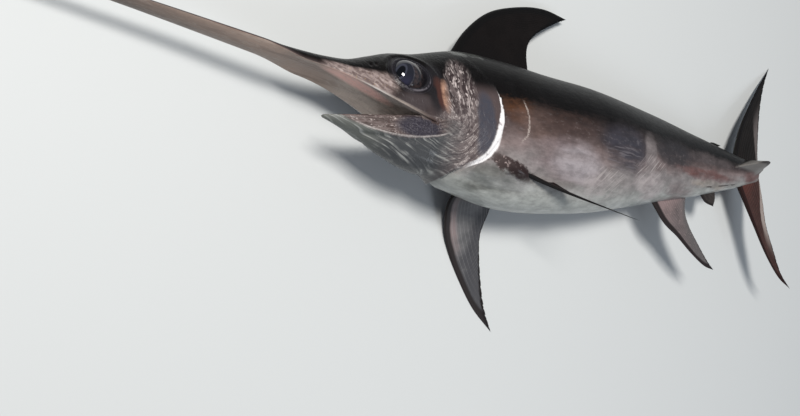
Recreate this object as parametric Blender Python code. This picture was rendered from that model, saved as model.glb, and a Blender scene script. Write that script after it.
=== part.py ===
"""A life-size swordfish, lying on its right side as it would rest once landed.

Lengths are in metres. The fish is first drawn straight, in its own frame: x runs from the tip of the
lower jaw to the tail, y up to the back and z out to the left flank. `lay` then rolls it a little belly
up, bends it slightly and sets its right flank on the floor, which is at height 0. The origin is the
middle of the small flat on which the flank rests.
"""
import math

import bmesh
import bpy
import numpy as np

GAP = 0.0003                 # clearance between neighbouring pieces
SIDES = 28                   # points round each section of the body
STEP = 0.058                 # distance between the sections of the body

# The body's outline as (x, value): half heights above and below the axis, and half width
BACK = [(0.26, 0.144), (0.42, 0.198), (0.56, 0.208), (0.75, 0.204), (0.95, 0.206), (1.15, 0.194),
        (1.35, 0.177), (1.55, 0.148), (1.75, 0.113), (1.90, 0.082), (2.00, 0.062), (2.09, 0.036)]
BELLY = [(0.26, 0.190), (0.42, 0.222), (0.56, 0.243), (0.70, 0.243), (0.85, 0.228), (1.00, 0.209),
         (1.15, 0.180), (1.35, 0.142), (1.55, 0.112), (1.75, 0.082), (1.90, 0.060), (2.00, 0.043),
         (2.09, 0.030)]
FLANK = [(0.26, 0.091), (0.42, 0.120), (0.56, 0.142), (0.75, 0.157), (0.95, 0.156), (1.15, 0.140),
         (1.35, 0.114), (1.55, 0.087), (1.75, 0.063), (1.90, 0.046), (2.00, 0.032), (2.09, 0.014)]
BODY_POWER = 2.2             # 2 is an ellipse, more is squarer
TRUNK_SPLIT = 1.06           # front and rear lengths of the trunk meet here
STALK_START = 1.62           # and here the rear length meets the tail stalk
STALK_END = 2.075

# The upper head and the bill, as (x, value)
MOUTH_BACK = 0.300           # rear wall of the open mouth
BILL_ROOT = -0.120
BILL_TIP = -0.860
CROWN = [(-0.12, 0.055), (0.00, 0.060), (0.06, 0.070), (0.12, 0.096), (0.18, 0.123),
         (0.26, 0.145), (0.34, 0.174), (0.42, 0.198)]
PALATE = [(-0.12, 0.027), (0.00, 0.018), (0.10, 0.000), (0.20, -0.025), (0.30, -0.052),
          (0.42, -0.060)]
CHEEK = [(-0.12, 0.042), (0.00, 0.050), (0.10, 0.064), (0.20, 0.080), (0.26, 0.091), (0.42, 0.116)]
PALATE_ARCH = 0.010          # how far the palate rises between its edges
BILL_HALF_WIDTH = [(-0.86, 0.0035), (-0.80, 0.009), (-0.60, 0.020), (-0.40, 0.030), (-0.12, 0.042)]
BILL_HALF_DEPTH = [(-0.86, 0.0025), (-0.80, 0.005), (-0.60, 0.0075), (-0.40, 0.010), (-0.12, 0.014)]
BILL_HEIGHT = [(-0.86, 0.088), (-0.60, 0.076), (-0.40, 0.064), (-0.24, 0.051), (-0.12, 0.041)]
GILL_EDGE = [(-0.30, 0.300), (-0.215, 0.330), (-0.18, 0.378), (-0.154, 0.437), (-0.126, 0.466),
             (-0.084, 0.490), (-0.037, 0.500), (0.004, 0.498), (0.051, 0.486), (0.10, 0.460),
             (0.15, 0.425), (0.20, 0.400), (0.30, 0.385)]        # (height, x)
GILL_STANDS_PROUD = 0.004
NOSTRILS = [(0.112, 0.052), (0.128, 0.057)]
NOSTRIL_RADIUS = 0.0045
LIP_RADIUS = 0.003           # of the bead along each upper lip
LIP_SPAN = (-0.02, 0.22)
EYE_CENTRE = (0.226, 0.049, 0.056)
EYE_RADII = (0.050, 0.044, 0.032)
EYE_RIM = (0.005, 0.005, -0.003)       # how much larger the raised rim is than the eyeball
HEAD_STEP = 0.032

# The lower jaw, as (x, value)
JAW_TOP = [(0.0, -0.093), (0.12, -0.079), (0.22, -0.063), (0.30, -0.0525)]
JAW_BELLY = [(0.0, -0.099), (0.036, -0.107), (0.10, -0.128), (0.17, -0.160), (0.24, -0.183),
             (0.30, -0.193)]
JAW_HALF_WIDTH = [(0.0, 0.003), (0.036, 0.019), (0.10, 0.042), (0.20, 0.068), (0.30, 0.089)]
MOUTH_FLOOR_DIP = 0.012
JAW_GROOVE = [(0.09, -0.119), (0.15, -0.127), (0.22, -0.126), (0.30, -0.110)]
GROOVE_RADIUS = 0.0025

# The keels on the sides of the tail stalk, as (x, value)
KEEL_REACH = [(1.780, 0.056), (1.860, 0.068), (1.930, 0.088), (1.992, 0.108), (2.030, 0.090),
              (2.066, 0.040)]
KEEL_HEIGHT = [(1.780, 0.006), (1.860, 0.020), (1.930, 0.029), (1.992, 0.036), (2.066, 0.020)]
KEEL_ABOVE = [(1.780, 0.011), (1.860, 0.026), (1.930, 0.032), (1.992, 0.026), (2.066, 0.012)]
KEEL_BELOW = [(1.780, 0.011), (1.860, 0.030), (1.930, 0.048), (1.992, 0.062), (2.066, 0.030)]
KEEL_EDGE = 0.0022

# How the fish lies: roll in degrees, and height and sideways place of its axis
ROLL = [(-0.20, 14.8), (0.10, 14.8), (0.70, 15.5), (1.30, 13.6), (1.85, 11.0), (2.30, 11.2)]
AXIS_HEIGHT = [(-0.86, 0.118), (-0.40, 0.150), (-0.10, 0.174), (0.10, 0.181), (0.40, 0.170),
               (0.70, 0.1585), (1.05, 0.148), (1.40, 0.128), (1.70, 0.113), (1.95, 0.1035),
               (2.30, 0.0955)]
AXIS_ASIDE = [(-0.86, 0.0612), (-0.40, 0.0405), (0.00, 0.0225), (0.30, 0.0095), (0.50, 0.0030),
              (0.75, 0.0), (1.00, 0.0), (1.30, 0.0054), (1.60, 0.0216), (1.95, 0.0541), (2.30, 0.1014)]
REST_POINT = (0.80, 0.040)   # where the flank rests, before the origin is moved there


def smooth(knots, x):
    """Height at x of the smooth curve through the knots."""
    places, values = np.array(knots, float).T
    slopes = np.gradient(values, places)
    i = int(np.clip(np.searchsorted(places, x) - 1, 0, len(places) - 2))
    span = places[i + 1] - places[i]
    t = min(max((x - places[i]) / span, 0.0), 1.0)
    rise = slopes[i] * span * t * (1 - t) ** 2 - slopes[i + 1] * span * t * t * (1 - t)
    return float(values[i] * (1 + 2 * t) * (1 - t) ** 2 + values[i + 1] * t * t * (3 - 2 * t) + rise)


def smooth_point(points, t):
    """Point at t, from 0 to 1, of the smooth curve through evenly counted points."""
    steps = np.linspace(0, 1, len(points))
    return np.array([smooth(list(zip(steps, axis)), t) for axis in np.array(points, float).T])


def lay(point):
    """Place on the floor of a point of the straight fish."""
    x, y, z = point
    roll = math.radians(smooth(ROLL, x))
    return (x - REST_POINT[0],
            y * math.cos(roll) + z * math.sin(roll) + smooth(AXIS_ASIDE, x) - REST_POINT[1],
            z * math.cos(roll) - y * math.sin(roll) + smooth(AXIS_HEIGHT, x))


def finish(name, rgb, roughness, metallic=0.0):
    material = bpy.data.materials.new(name)
    material.use_nodes = True
    shader = material.node_tree.nodes["Principled BSDF"]
    shader.inputs["Base Color"].default_value = (*rgb, 1)
    shader.inputs["Roughness"].default_value = roughness
    shader.inputs["Metallic"].default_value = metallic
    return material


def to_object(bm, name):
    bmesh.ops.recalc_face_normals(bm, faces=bm.faces)
    mesh = bpy.data.meshes.new(name)
    bm.to_mesh(mesh)
    bm.free()
    obj = bpy.data.objects.new(name, mesh)
    bpy.context.collection.objects.link(obj)
    return obj


def loft(name, rings):
    """Closed solid through rings of equal count, with a flat cap at each end."""
    bm = bmesh.new()
    loops = [[bm.verts.new(point) for point in ring] for ring in rings]
    count = len(rings[0])
    for here, after in zip(loops, loops[1:]):
        for i in range(count):
            j = (i + 1) % count
            bm.faces.new((here[i], here[j], after[j]))
            bm.faces.new((here[i], after[j], after[i]))
    bm.faces.new(loops[0][::-1])
    bm.faces.new(loops[-1])
    return to_object(bm, name)


def combine(target, tool, operation, solver="EXACT"):
    """Apply a Boolean of `tool` on `target`, and remove the tool."""
    modifier = target.modifiers.new(operation, "BOOLEAN")
    modifier.operation = operation
    modifier.object = tool
    modifier.solver = solver
    result = target.evaluated_get(bpy.context.evaluated_depsgraph_get())
    mesh = bpy.data.meshes.new_from_object(result)
    target.modifiers.clear()
    target.data = mesh
    bpy.data.objects.remove(tool)
    return target


def keep_largest(obj):
    """Merge doubled points and drop every closed surface but the largest."""
    bm = bmesh.new()
    bm.from_mesh(obj.data)
    bmesh.ops.remove_doubles(bm, verts=bm.verts, dist=1e-5)
    bmesh.ops.dissolve_degenerate(bm, edges=bm.edges, dist=1e-6)
    unseen = set(bm.verts)
    shells = []
    while unseen:
        shell = set()
        queue = [unseen.pop()]
        while queue:
            vert = queue.pop()
            shell.add(vert)
            for edge in vert.link_edges:
                other = edge.other_vert(vert)
                if other in unseen:
                    unseen.discard(other)
                    queue.append(other)
        shells.append(shell)
    largest = max(shells, key=len)
    bmesh.ops.delete(bm, geom=[v for v in bm.verts if v not in largest], context="VERTS")
    bmesh.ops.triangulate(bm, faces=bm.faces)
    bm.to_mesh(obj.data)
    bm.free()
    return obj


def box(name, low, high):
    bm = bmesh.new()
    bmesh.ops.create_cube(bm, size=1.0)
    for vert in bm.verts:
        vert.co = [lo + (hi - lo) * (c + 0.5) for lo, hi, c in zip(low, high, vert.co)]
    return to_object(bm, name)


def lay_down(obj, material, smooth_angle=50, laid=True):
    """Lay a finished piece on the floor, cut its underside flat there and give it its finish."""
    keep_largest(obj)
    if laid:
        for vert in obj.data.vertices:
            vert.co = lay(vert.co)
    if min(vert.co.z for vert in obj.data.vertices) < 0:
        combine(obj, box("floor", (-2, -2, -1), (3, 2, 0)), "DIFFERENCE")
        keep_largest(obj)
    obj.data.materials.clear()
    obj.data.materials.append(material)
    obj.data.shade_smooth()
    obj.data.set_sharp_from_angle(angle=math.radians(smooth_angle))
    return obj


def superellipse(x, top, bottom, half, power=BODY_POWER, count=SIDES):
    """One closed section of the body across x."""
    points = []
    middle, reach = (top + bottom) / 2, (top - bottom) / 2
    for i in range(count):
        angle = 2 * math.pi * i / count
        up, out = math.cos(angle), math.sin(angle)
        points.append((x, middle + reach * math.copysign(abs(up) ** (2 / power), up),
                       half * math.copysign(abs(out) ** (2 / power), out)))
    return points


def body_section(x, grow=0.0):
    return superellipse(x, smooth(BACK, x) + grow, -smooth(BELLY, x) - grow, smooth(FLANK, x) + grow)


def stations(start, end, step=STEP):
    return np.linspace(start, end, max(2, round(abs(end - start) / step) + 1))


def body_length(name, start, end, grow=0.0):
    return loft(name, [body_section(x, grow) for x in stations(start, end)])


def gill_prism(name, shift):
    """All that lies ahead of the rear edge of the gill covers, moved back by `shift`."""
    heights = np.linspace(GILL_EDGE[0][0], GILL_EDGE[-1][0], 25)
    outline = [(smooth(GILL_EDGE, y) + shift, y) for y in heights]
    outline += [(-0.3, GILL_EDGE[-1][0]), (-0.3, GILL_EDGE[0][0])]
    return loft(name, [[(x, y, z) for x, y in outline] for z in (-0.3, 0.3)])


def upper_head_section(x, grow=0.0):
    """Section of the upper head: a domed top over a slightly arched palate."""
    top, edge, half = smooth(CROWN, x) + grow, smooth(PALATE, x) - grow, smooth(CHEEK, x) + grow
    dome = 2 * (SIDES // 3) + 1
    points = []
    for i in range(dome):
        angle = math.pi * (0.5 - i / (dome - 1)) * 1.06
        up, out = math.cos(angle), math.sin(angle)
        rise = math.copysign(abs(up) ** 0.9, up)
        points.append((x, edge + (top - edge) * rise, half * out))
    left, right = points[-1][2], points[0][2]
    for i in range(1, SIDES - dome + 1):
        t = i / (SIDES - dome + 1)
        arch = PALATE_ARCH * math.sin(math.pi * t)
        points.append((x, points[0][1] + arch, left + (right - left) * t))
    return points


def upper_head(name, grow=0.0):
    places = stations(BILL_ROOT, 0.38, HEAD_STEP)
    return loft(name, [upper_head_section(x, grow) for x in places])


def rear_head(name, start, grow=0.0):
    """The head behind the mouth, swollen towards the edge of the gill covers."""
    form = loft(name, [body_section(x, grow) for x in stations(start, 0.62, HEAD_STEP)])
    for vert in form.data.vertices:
        swell = GILL_STANDS_PROUD * min(max((vert.co.x - 0.34) / 0.14, 0), 1)
        spread = 1 + swell / math.hypot(vert.co.y, vert.co.z)
        vert.co.y *= spread
        vert.co.z *= spread
    return form


def eyeball(name, side, grow=(0.0, 0.0, 0.0), segments=18):
    bm = bmesh.new()
    bmesh.ops.create_uvsphere(bm, u_segments=segments, v_segments=segments // 2, radius=1.0)
    for vert in bm.verts:
        vert.co = [middle + unit * (radius + more) for middle, unit, radius, more
                   in zip((*EYE_CENTRE[:2], side * EYE_CENTRE[2]), vert.co, EYE_RADII, grow)]
    return to_object(bm, name)


def bead(name, path, radius, sides=8):
    """A thin round bead along a path that runs roughly along x, narrower at its ends."""
    rings = []
    for i, (x, y, z) in enumerate(path):
        here = radius * (0.4 if i in (0, len(path) - 1) else 1.0)
        turns = [2 * math.pi * j / sides for j in range(sides)]
        rings.append([(x, y + here * math.cos(turn), z + here * math.sin(turn)) for turn in turns])
    return loft(name, rings)


def lip_path(side):
    """The left or right lip: the end of the dome of the upper head's sections."""
    sections = [upper_head_section(x)[0] for x in stations(*LIP_SPAN, HEAD_STEP)]
    return [(x, y, side * z) for x, y, z in sections]


def face_depth(x, y):
    """Distance from the midline to the side of the upper head at height y."""
    edge, top, half = smooth(PALATE, x), smooth(CROWN, x), smooth(CHEEK, x)
    up = ((y - edge) / (top - edge)) ** (1 / 0.9)
    return half * math.sqrt(1 - up * up)


def make_head(skin):
    head = rear_head("head", MOUTH_BACK + GAP)
    combine(head, upper_head("upper head"), "UNION")
    combine(head, gill_prism("gill edge", 0.0), "INTERSECT")
    for side in (1, -1):
        combine(head, bead("lip", lip_path(side), LIP_RADIUS), "UNION")
        combine(head, eyeball("eye rim", side, EYE_RIM), "UNION")
        combine(head, eyeball("socket", side, (GAP, GAP, GAP)), "DIFFERENCE")
        for x, y in NOSTRILS:
            bm = bmesh.new()
            bmesh.ops.create_icosphere(bm, subdivisions=1, radius=NOSTRIL_RADIUS)
            bmesh.ops.translate(bm, verts=bm.verts, vec=(x, y, side * face_depth(x, y)))
            combine(head, to_object(bm, "nostril"), "DIFFERENCE")
    return lay_down(head, skin)


def make_bill(skin):
    """The flat, sharp-edged sword."""
    rings = []
    for x in stations(BILL_TIP, BILL_ROOT - GAP, 0.06):
        depth = smooth(BILL_HALF_DEPTH, x)
        middle = smooth(BILL_HEIGHT, x)
        rings.append(superellipse(x, middle + depth, middle - depth, smooth(BILL_HALF_WIDTH, x), 1.7, 16))
    return lay_down(loft("bill", rings), skin, 35)


def make_lower_jaw(skin):
    rings = []
    rim = 12
    for x in stations(0.0, MOUTH_BACK, 0.03):
        top, low, half = smooth(JAW_TOP, x), smooth(JAW_BELLY, x), smooth(JAW_HALF_WIDTH, x)
        dip = MOUTH_FLOOR_DIP * min(1, x / 0.10)
        ring = []
        for i in range(rim + 1):
            angle = math.pi * (i / rim - 0.5)
            ring.append((x, top + (low - top) * math.cos(angle) ** 0.9, half * math.sin(angle)))
        for i in range(1, 8):
            t = i / 8
            ring.append((x, top - dip * math.sin(math.pi * t) ** 0.6, half * (1 - 2 * t)))
        rings.append(ring)
    jaw = loft("lower_jaw", rings)
    combine(jaw, upper_head("palate", GAP), "DIFFERENCE")
    for side in (1, -1):
        combine(jaw, bead("groove", groove_path(side), GROOVE_RADIUS), "DIFFERENCE")
    return lay_down(jaw, skin)


def groove_path(side):
    """The groove on the side of the jaw, between the jaw's bone and the skin of the throat."""
    path = []
    for x in stations(JAW_GROOVE[0][0], JAW_GROOVE[-1][0] - 0.01, 0.03):
        y = smooth(JAW_GROOVE, x)
        top, low = smooth(JAW_TOP, x), smooth(JAW_BELLY, x)
        up = ((y - top) / (low - top)) ** (1 / 0.9)
        path.append((x, y, side * smooth(JAW_HALF_WIDTH, x) * math.sqrt(1 - up * up)))
    return path


def make_trunk(skin):
    front = body_length("torso_front", 0.31, TRUNK_SPLIT)
    combine(front, gill_prism("gill opening", GAP), "DIFFERENCE")
    lay_down(front, skin)
    lay_down(body_length("torso_rear", TRUNK_SPLIT + GAP, STALK_START), skin)
    lay_down(body_length("tail_stalk", STALK_START + GAP, STALK_END), skin)


def fin_solid(name, root, lead, margin, rays, rows, thickness, ridge):
    """A closed fin. `root`, `lead` and `margin` are points along its root from front to rear, along its
    leading edge from root to tip, and along its free rear edge from tip to root. Rays are raised on
    both faces as every second column of the same surface, which bend from the root to the margin."""
    columns = 2 * rays + 2

    def place(s, t):
        ruled = smooth_point(root, s) * (1 - t) + smooth_point(margin, s) * t
        edge = smooth_point(root, 0) * (1 - t) + smooth_point(margin, 0) * t
        return ruled + (smooth_point(lead, t) - edge) * (1 - s) ** 1.5

    bm = bmesh.new()
    sheets = ([], [])
    for i in range(columns + 1):
        s = (i / columns) ** 1.15
        for j in range(rows + 1):
            t = j / rows
            here = place(s, t)
            along = place(min(s + 0.01, 1), t) - place(max(s - 0.01, 0), t)
            out = place(s, min(t + 0.01, 1)) - place(s, max(t - 0.01, 0))
            normal = np.cross(along, out)
            normal /= max(np.linalg.norm(normal), 1e-9)
            half = thickness[0] + (thickness[1] - thickness[0]) * (1 - t) ** 1.3 * (1 - 0.75 * s)
            if i == 0 or i == columns:
                half *= 0.35
            elif i % 2:
                half += ridge * (1 - 0.6 * t) * (t < 1)
            for sheet, sign in zip(sheets, (1, -1)):
                sheet.append(bm.verts.new(here + sign * half * normal))
    across = rows + 1
    for i in range(columns):
        for j in range(rows):
            corner = i * across + j
            corners = (corner, corner + across, corner + across + 1, corner + 1)
            for sheet in sheets:
                a, b, c, d = (sheet[k] for k in corners)
                bm.faces.new((a, b, c))
                bm.faces.new((a, c, d))
    rim = list(range(across)) + [i * across + rows for i in range(1, columns + 1)]
    rim += [columns * across + j for j in range(rows - 1, -1, -1)]
    rim += [i * across for i in range(columns - 1, 0, -1)]
    for a, b in zip(rim, rim[1:] + rim[:1]):
        bm.faces.new((sheets[0][a], sheets[0][b], sheets[1][b], sheets[1][a]))
    return to_object(bm, name)


def cut_to_body(fin, start, end):
    """Cut the fin's root to the skin it grows from, with the usual gap."""
    return combine(fin, body_length("body", start, end, GAP), "DIFFERENCE")


def flat(points, z=0.0):
    return [(x, y, z) for x, y in points]


def make_dorsal_fins(skin):
    fin = fin_solid(
        "first_dorsal_fin",
        flat([(0.400, 0.170), (0.575, 0.195), (0.748, 0.195)]),
        flat([(0.400, 0.170), (0.487, 0.297), (0.596, 0.396), (0.735, 0.458), (0.850, 0.483),
              (0.952, 0.474)]),
        flat([(0.952, 0.474), (0.862, 0.420), (0.785, 0.362), (0.750, 0.300), (0.748, 0.195)]),
        rays=15, rows=8, thickness=(0.0011, 0.0085), ridge=0.0016)
    combine(fin, gill_grown(), "DIFFERENCE")
    cut_to_body(fin, 0.31, TRUNK_SPLIT)
    lay_down(fin, skin, 30)
    fin = fin_solid(
        "second_dorsal_fin",
        flat([(1.715, 0.095), (1.790, 0.080)]),
        flat([(1.715, 0.095), (1.762, 0.126), (1.832, 0.117)]),
        flat([(1.832, 0.117), (1.800, 0.106), (1.790, 0.080)]),
        rays=3, rows=3, thickness=(0.001, 0.004), ridge=0.0008)
    cut_to_body(fin, STALK_START + GAP, STALK_END)
    lay_down(fin, skin, 30)


def gill_grown():
    """The head's own rear part, grown by the gap, that the front of the first dorsal fin must clear."""
    head = bpy.data.objects["head_form"].copy()
    head.data = head.data.copy()
    bpy.context.collection.objects.link(head)
    return head


def make_anal_fins(skin):
    fin = fin_solid(
        "first_anal_fin",
        flat([(1.325, -0.125), (1.450, -0.108), (1.563, -0.090)]),
        flat([(1.325, -0.125), (1.400, -0.212), (1.480, -0.262), (1.560, -0.320), (1.645, -0.370),
              (1.712, -0.388)]),
        flat([(1.712, -0.388), (1.668, -0.347), (1.615, -0.285), (1.568, -0.225), (1.546, -0.165),
              (1.563, -0.090)]),
        rays=9, rows=7, thickness=(0.0011, 0.007), ridge=0.0014)
    cut_to_body(fin, TRUNK_SPLIT + GAP, STALK_START)
    lay_down(fin, skin, 30)
    fin = fin_solid(
        "second_anal_fin",
        flat([(1.645, -0.070), (1.762, -0.060)]),
        flat([(1.645, -0.070), (1.685, -0.120), (1.745, -0.138)]),
        flat([(1.745, -0.138), (1.762, -0.105), (1.762, -0.060)]),
        rays=3, rows=3, thickness=(0.001, 0.004), ridge=0.0008)
    cut_to_body(fin, STALK_START + GAP, STALK_END)
    lay_down(fin, skin, 30)


def keel_solid(name, side, grow=0.0):
    """One side keel of the tail stalk: broad where it leaves the stalk, sharp at its edge, rising to a
    point and falling off behind."""
    rings = []
    for x in np.linspace(KEEL_REACH[0][0] - grow, KEEL_REACH[-1][0] + grow, 15):
        reach = smooth(KEEL_REACH, x) + grow
        above, below = smooth(KEEL_ABOVE, x) + grow, smooth(KEEL_BELOW, x) + grow
        middle = smooth(KEEL_HEIGHT, x)
        edge = KEEL_EDGE + grow
        upper, lower = ([(sign * thick, 0.006), (sign * (0.62 * thick + 0.1 * edge), 0.36 * reach + 0.006),
                         (sign * (0.28 * thick + 0.4 * edge), 0.70 * reach), (sign * edge, reach - 0.004)]
                        for sign, thick in ((1, above), (-1, below)))
        ring = upper + [(0.0, reach)] + lower[::-1]
        rings.append([(x, middle + rise, side * out) for rise, out in ring])
    return loft(name, rings)


def make_tail_fins(skin):
    upper = fin_solid(
        "caudal_fin_upper",
        flat([(1.905, 0.030), (1.990, 0.016), (2.096, 0.0004)]),
        flat([(1.905, 0.030), (1.940, 0.125), (1.992, 0.215), (2.062, 0.300), (2.150, 0.395),
              (2.262, 0.500)]),
        flat([(2.262, 0.500), (2.205, 0.410), (2.160, 0.310), (2.128, 0.200), (2.104, 0.090),
              (2.096, 0.0004)]),
        rays=7, rows=10, thickness=(0.0011, 0.011), ridge=0.0014)
    lower = fin_solid(
        "caudal_fin_lower",
        flat([(1.925, -0.030), (2.000, -0.016), (2.096, -0.0004)]),
        flat([(1.925, -0.030), (1.972, -0.110), (2.030, -0.212), (2.105, -0.345), (2.182, -0.445),
              (2.264, -0.502)]),
        flat([(2.264, -0.502), (2.203, -0.428), (2.160, -0.320), (2.124, -0.220), (2.112, -0.110),
              (2.096, -0.0004)]),
        rays=7, rows=10, thickness=(0.0011, 0.011), ridge=0.0014)
    for fin in (upper, lower):
        cut_to_body(fin, STALK_START + GAP, STALK_END)
        for side in (1, -1):
            combine(fin, keel_solid("keel cut", side, GAP), "DIFFERENCE")
        lay_down(fin, skin, 30)


def make_keels(skin):
    for side, name in ((1, "keel_left"), (-1, "keel_right")):
        keel = keel_solid(name, side)
        cut_to_body(keel, STALK_START + GAP, STALK_END)
        lay_down(keel, skin, 30)


def make_pectoral_fins(skin):
    left = fin_solid(
        "pectoral_fin_left",
        [(0.506, -0.142, 0.104), (0.556, -0.142, 0.106), (0.605, -0.138, 0.108)],
        [(0.506, -0.142, 0.104), (0.585, -0.175, 0.117), (0.674, -0.204, 0.134), (0.766, -0.233, 0.159),
         (0.855, -0.262, 0.190), (0.942, -0.290, 0.220)],
        [(0.942, -0.290, 0.220), (0.870, -0.256, 0.176), (0.792, -0.219, 0.130), (0.712, -0.184, 0.114),
         (0.645, -0.160, 0.111), (0.605, -0.138, 0.108)],
        rays=7, rows=9, thickness=(0.0011, 0.011), ridge=0.0013)
    cut_to_body(left, 0.31, TRUNK_SPLIT)
    combine(left, gill_grown(), "DIFFERENCE")
    lay_down(left, skin, 30)
    make_floor_pectoral(skin)


def make_floor_pectoral(skin):
    """The right fin comes out from under the belly and is spread on the floor, so its points are given
    on the floor, with heights above it."""
    root = [(0.575, -0.145, 0.105), (0.620, -0.145, 0.105), (0.665, -0.145, 0.106)]
    lead = [(0.575, -0.145, 0.105), (0.524, -0.222, 0.060), (0.545, -0.310, 0.020), (0.584, -0.390, 0.006),
            (0.643, -0.479, 0.002), (0.712, -0.565, 0.001), (0.800, -0.640, 0.001)]
    margin = [(0.800, -0.640, 0.001), (0.762, -0.566, 0.001), (0.736, -0.490, 0.002), (0.712, -0.400, 0.006),
              (0.694, -0.320, 0.018), (0.690, -0.235, 0.056), (0.665, -0.145, 0.106)]
    root, lead, margin = ([(x - REST_POINT[0], y - REST_POINT[1], z) for x, y, z in row]
                          for row in (root, lead, margin))
    fin = fin_solid("pectoral_fin_right", root, lead, margin, rays=8, rows=10,
                    thickness=(0.0014, 0.0075), ridge=0.0013)
    body = body_length("body", 0.31, TRUNK_SPLIT, GAP)
    for form in (body, gill_grown()):
        for vert in form.data.vertices:
            vert.co = lay(vert.co)
        combine(fin, form, "DIFFERENCE")
    lay_down(fin, skin, 30, laid=False)


def make_head_form():
    """Guide for the pieces beside the gill covers: the rear of the head, grown by the gap."""
    form = rear_head("head_form", MOUTH_BACK, GAP)
    combine(form, gill_prism("gill edge", GAP), "INTERSECT")
    form.hide_render = True
    form.display_type = "WIRE"


def build():
    for obj in list(bpy.data.objects):
        bpy.data.objects.remove(obj)
    head_skin = finish("head skin", (0.11, 0.09, 0.09), 0.30)
    bill_skin = finish("bill skin", (0.10, 0.08, 0.075), 0.35)
    trunk_skin = finish("trunk skin", (0.13, 0.10, 0.11), 0.30)
    fin_skin = finish("fin skin", (0.035, 0.025, 0.022), 0.40)
    eye_glass = finish("eye", (0.02, 0.03, 0.04), 0.06)
    make_head_form()
    make_head(head_skin)
    make_bill(bill_skin)
    make_lower_jaw(head_skin)
    lay_down(eyeball("eye_left", 1), eye_glass)
    lay_down(eyeball("eye_right", -1), eye_glass)
    make_trunk(trunk_skin)
    make_keels(trunk_skin)
    make_dorsal_fins(fin_skin)
    make_anal_fins(fin_skin)
    make_tail_fins(fin_skin)
    make_pectoral_fins(fin_skin)


build()
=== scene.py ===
"""Looks of the life-size swordfish that lies on its right side: one wet skin, finer fins and eyes.

Lengths are in metres. The fish is drawn straight, as its solids are: x runs from the tip of the lower
jaw to the tail, y up to the back and z out to the left flank. `lay` then puts each point where it
rests on the floor, and the straight place stays with the point as the attribute "fish".
"""
import math

import bmesh
import bpy
import numpy as np
from mathutils import Matrix, Vector


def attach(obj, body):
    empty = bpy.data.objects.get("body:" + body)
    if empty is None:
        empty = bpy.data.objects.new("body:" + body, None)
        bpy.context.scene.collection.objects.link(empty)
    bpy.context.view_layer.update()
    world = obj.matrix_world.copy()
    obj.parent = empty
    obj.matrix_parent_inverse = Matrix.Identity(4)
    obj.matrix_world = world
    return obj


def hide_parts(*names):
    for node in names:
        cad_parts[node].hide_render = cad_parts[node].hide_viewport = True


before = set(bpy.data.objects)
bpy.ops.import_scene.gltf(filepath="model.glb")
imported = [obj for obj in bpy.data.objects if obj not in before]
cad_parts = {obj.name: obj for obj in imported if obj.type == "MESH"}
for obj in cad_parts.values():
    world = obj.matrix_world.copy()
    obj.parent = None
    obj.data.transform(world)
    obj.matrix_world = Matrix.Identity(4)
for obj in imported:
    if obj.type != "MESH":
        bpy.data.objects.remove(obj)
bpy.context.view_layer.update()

# Skin. A swordfish has no scales when grown: one tough wet skin runs over bill, head, jaw, trunk, tail
# stalk and keels. It is a tube with rounded sections, joined to the tube of the lower jaw, and the
# gill covers, eye rims, lips and folds are raised in it.

# How the fish lies: roll in degrees, height of its axis and place of its axis aside, along x
ROLL = [(-0.20, 14.8), (0.10, 14.8), (0.70, 15.5), (1.30, 13.6), (1.85, 11.0), (2.30, 11.2)]
AXIS_HEIGHT = [(-0.86, 0.118), (-0.40, 0.150), (-0.10, 0.174), (0.10, 0.181), (0.40, 0.170),
               (0.70, 0.1585), (1.05, 0.148), (1.40, 0.128), (1.70, 0.113), (1.95, 0.1035), (2.30, 0.0955)]
AXIS_ASIDE = [(-0.86, 0.0612), (-0.40, 0.0405), (0.00, 0.0225), (0.30, 0.0095), (0.50, 0.0030),
              (0.75, 0.0), (1.00, 0.0), (1.30, 0.0054), (1.60, 0.0216), (1.95, 0.0541), (2.30, 0.1014)]
REST_POINT = (0.80, 0.040)   # this place of the straight fish comes to lie at the origin


def smooth(knots, x):
    """Values at x of the smooth curve through the knots."""
    places, values = np.array(knots, float).T
    slopes = np.gradient(values, places)
    i = np.clip(np.searchsorted(places, x) - 1, 0, len(places) - 2)
    span = places[i + 1] - places[i]
    t = np.clip((x - places[i]) / span, 0, 1)
    rise = slopes[i] * span * t * (1 - t) ** 2 - slopes[i + 1] * span * t * t * (1 - t)
    return values[i] * (1 + 2 * t) * (1 - t) ** 2 + values[i + 1] * t * t * (3 - 2 * t) + rise


def step(low, high, x):
    """0 below low, 1 above high, and smooth between them."""
    t = np.clip((x - low) / (high - low), 0, 1)
    return t * t * (3 - 2 * t)


def bump(x, width):
    """1 where x is 0, falling off to nothing over about twice the width."""
    return np.exp(-(x / width) ** 2)


def between(front, back, x):
    """1 from front to back, fading in over the first pair of places and out over the second."""
    return step(*front, x) * (1 - step(*back, x))


def power(value, exponent):
    """A power of the value's size, with the value's sign."""
    return np.sign(value) * np.abs(value) ** exponent


def lay(points):
    """Places on the floor of points of the straight fish."""
    x, y, z = points.T
    roll = np.radians(smooth(ROLL, x))
    return np.column_stack((x - REST_POINT[0],
                            y * np.cos(roll) + z * np.sin(roll) + smooth(AXIS_ASIDE, x) - REST_POINT[1],
                            z * np.cos(roll) - y * np.sin(roll) + smooth(AXIS_HEIGHT, x)))


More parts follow.
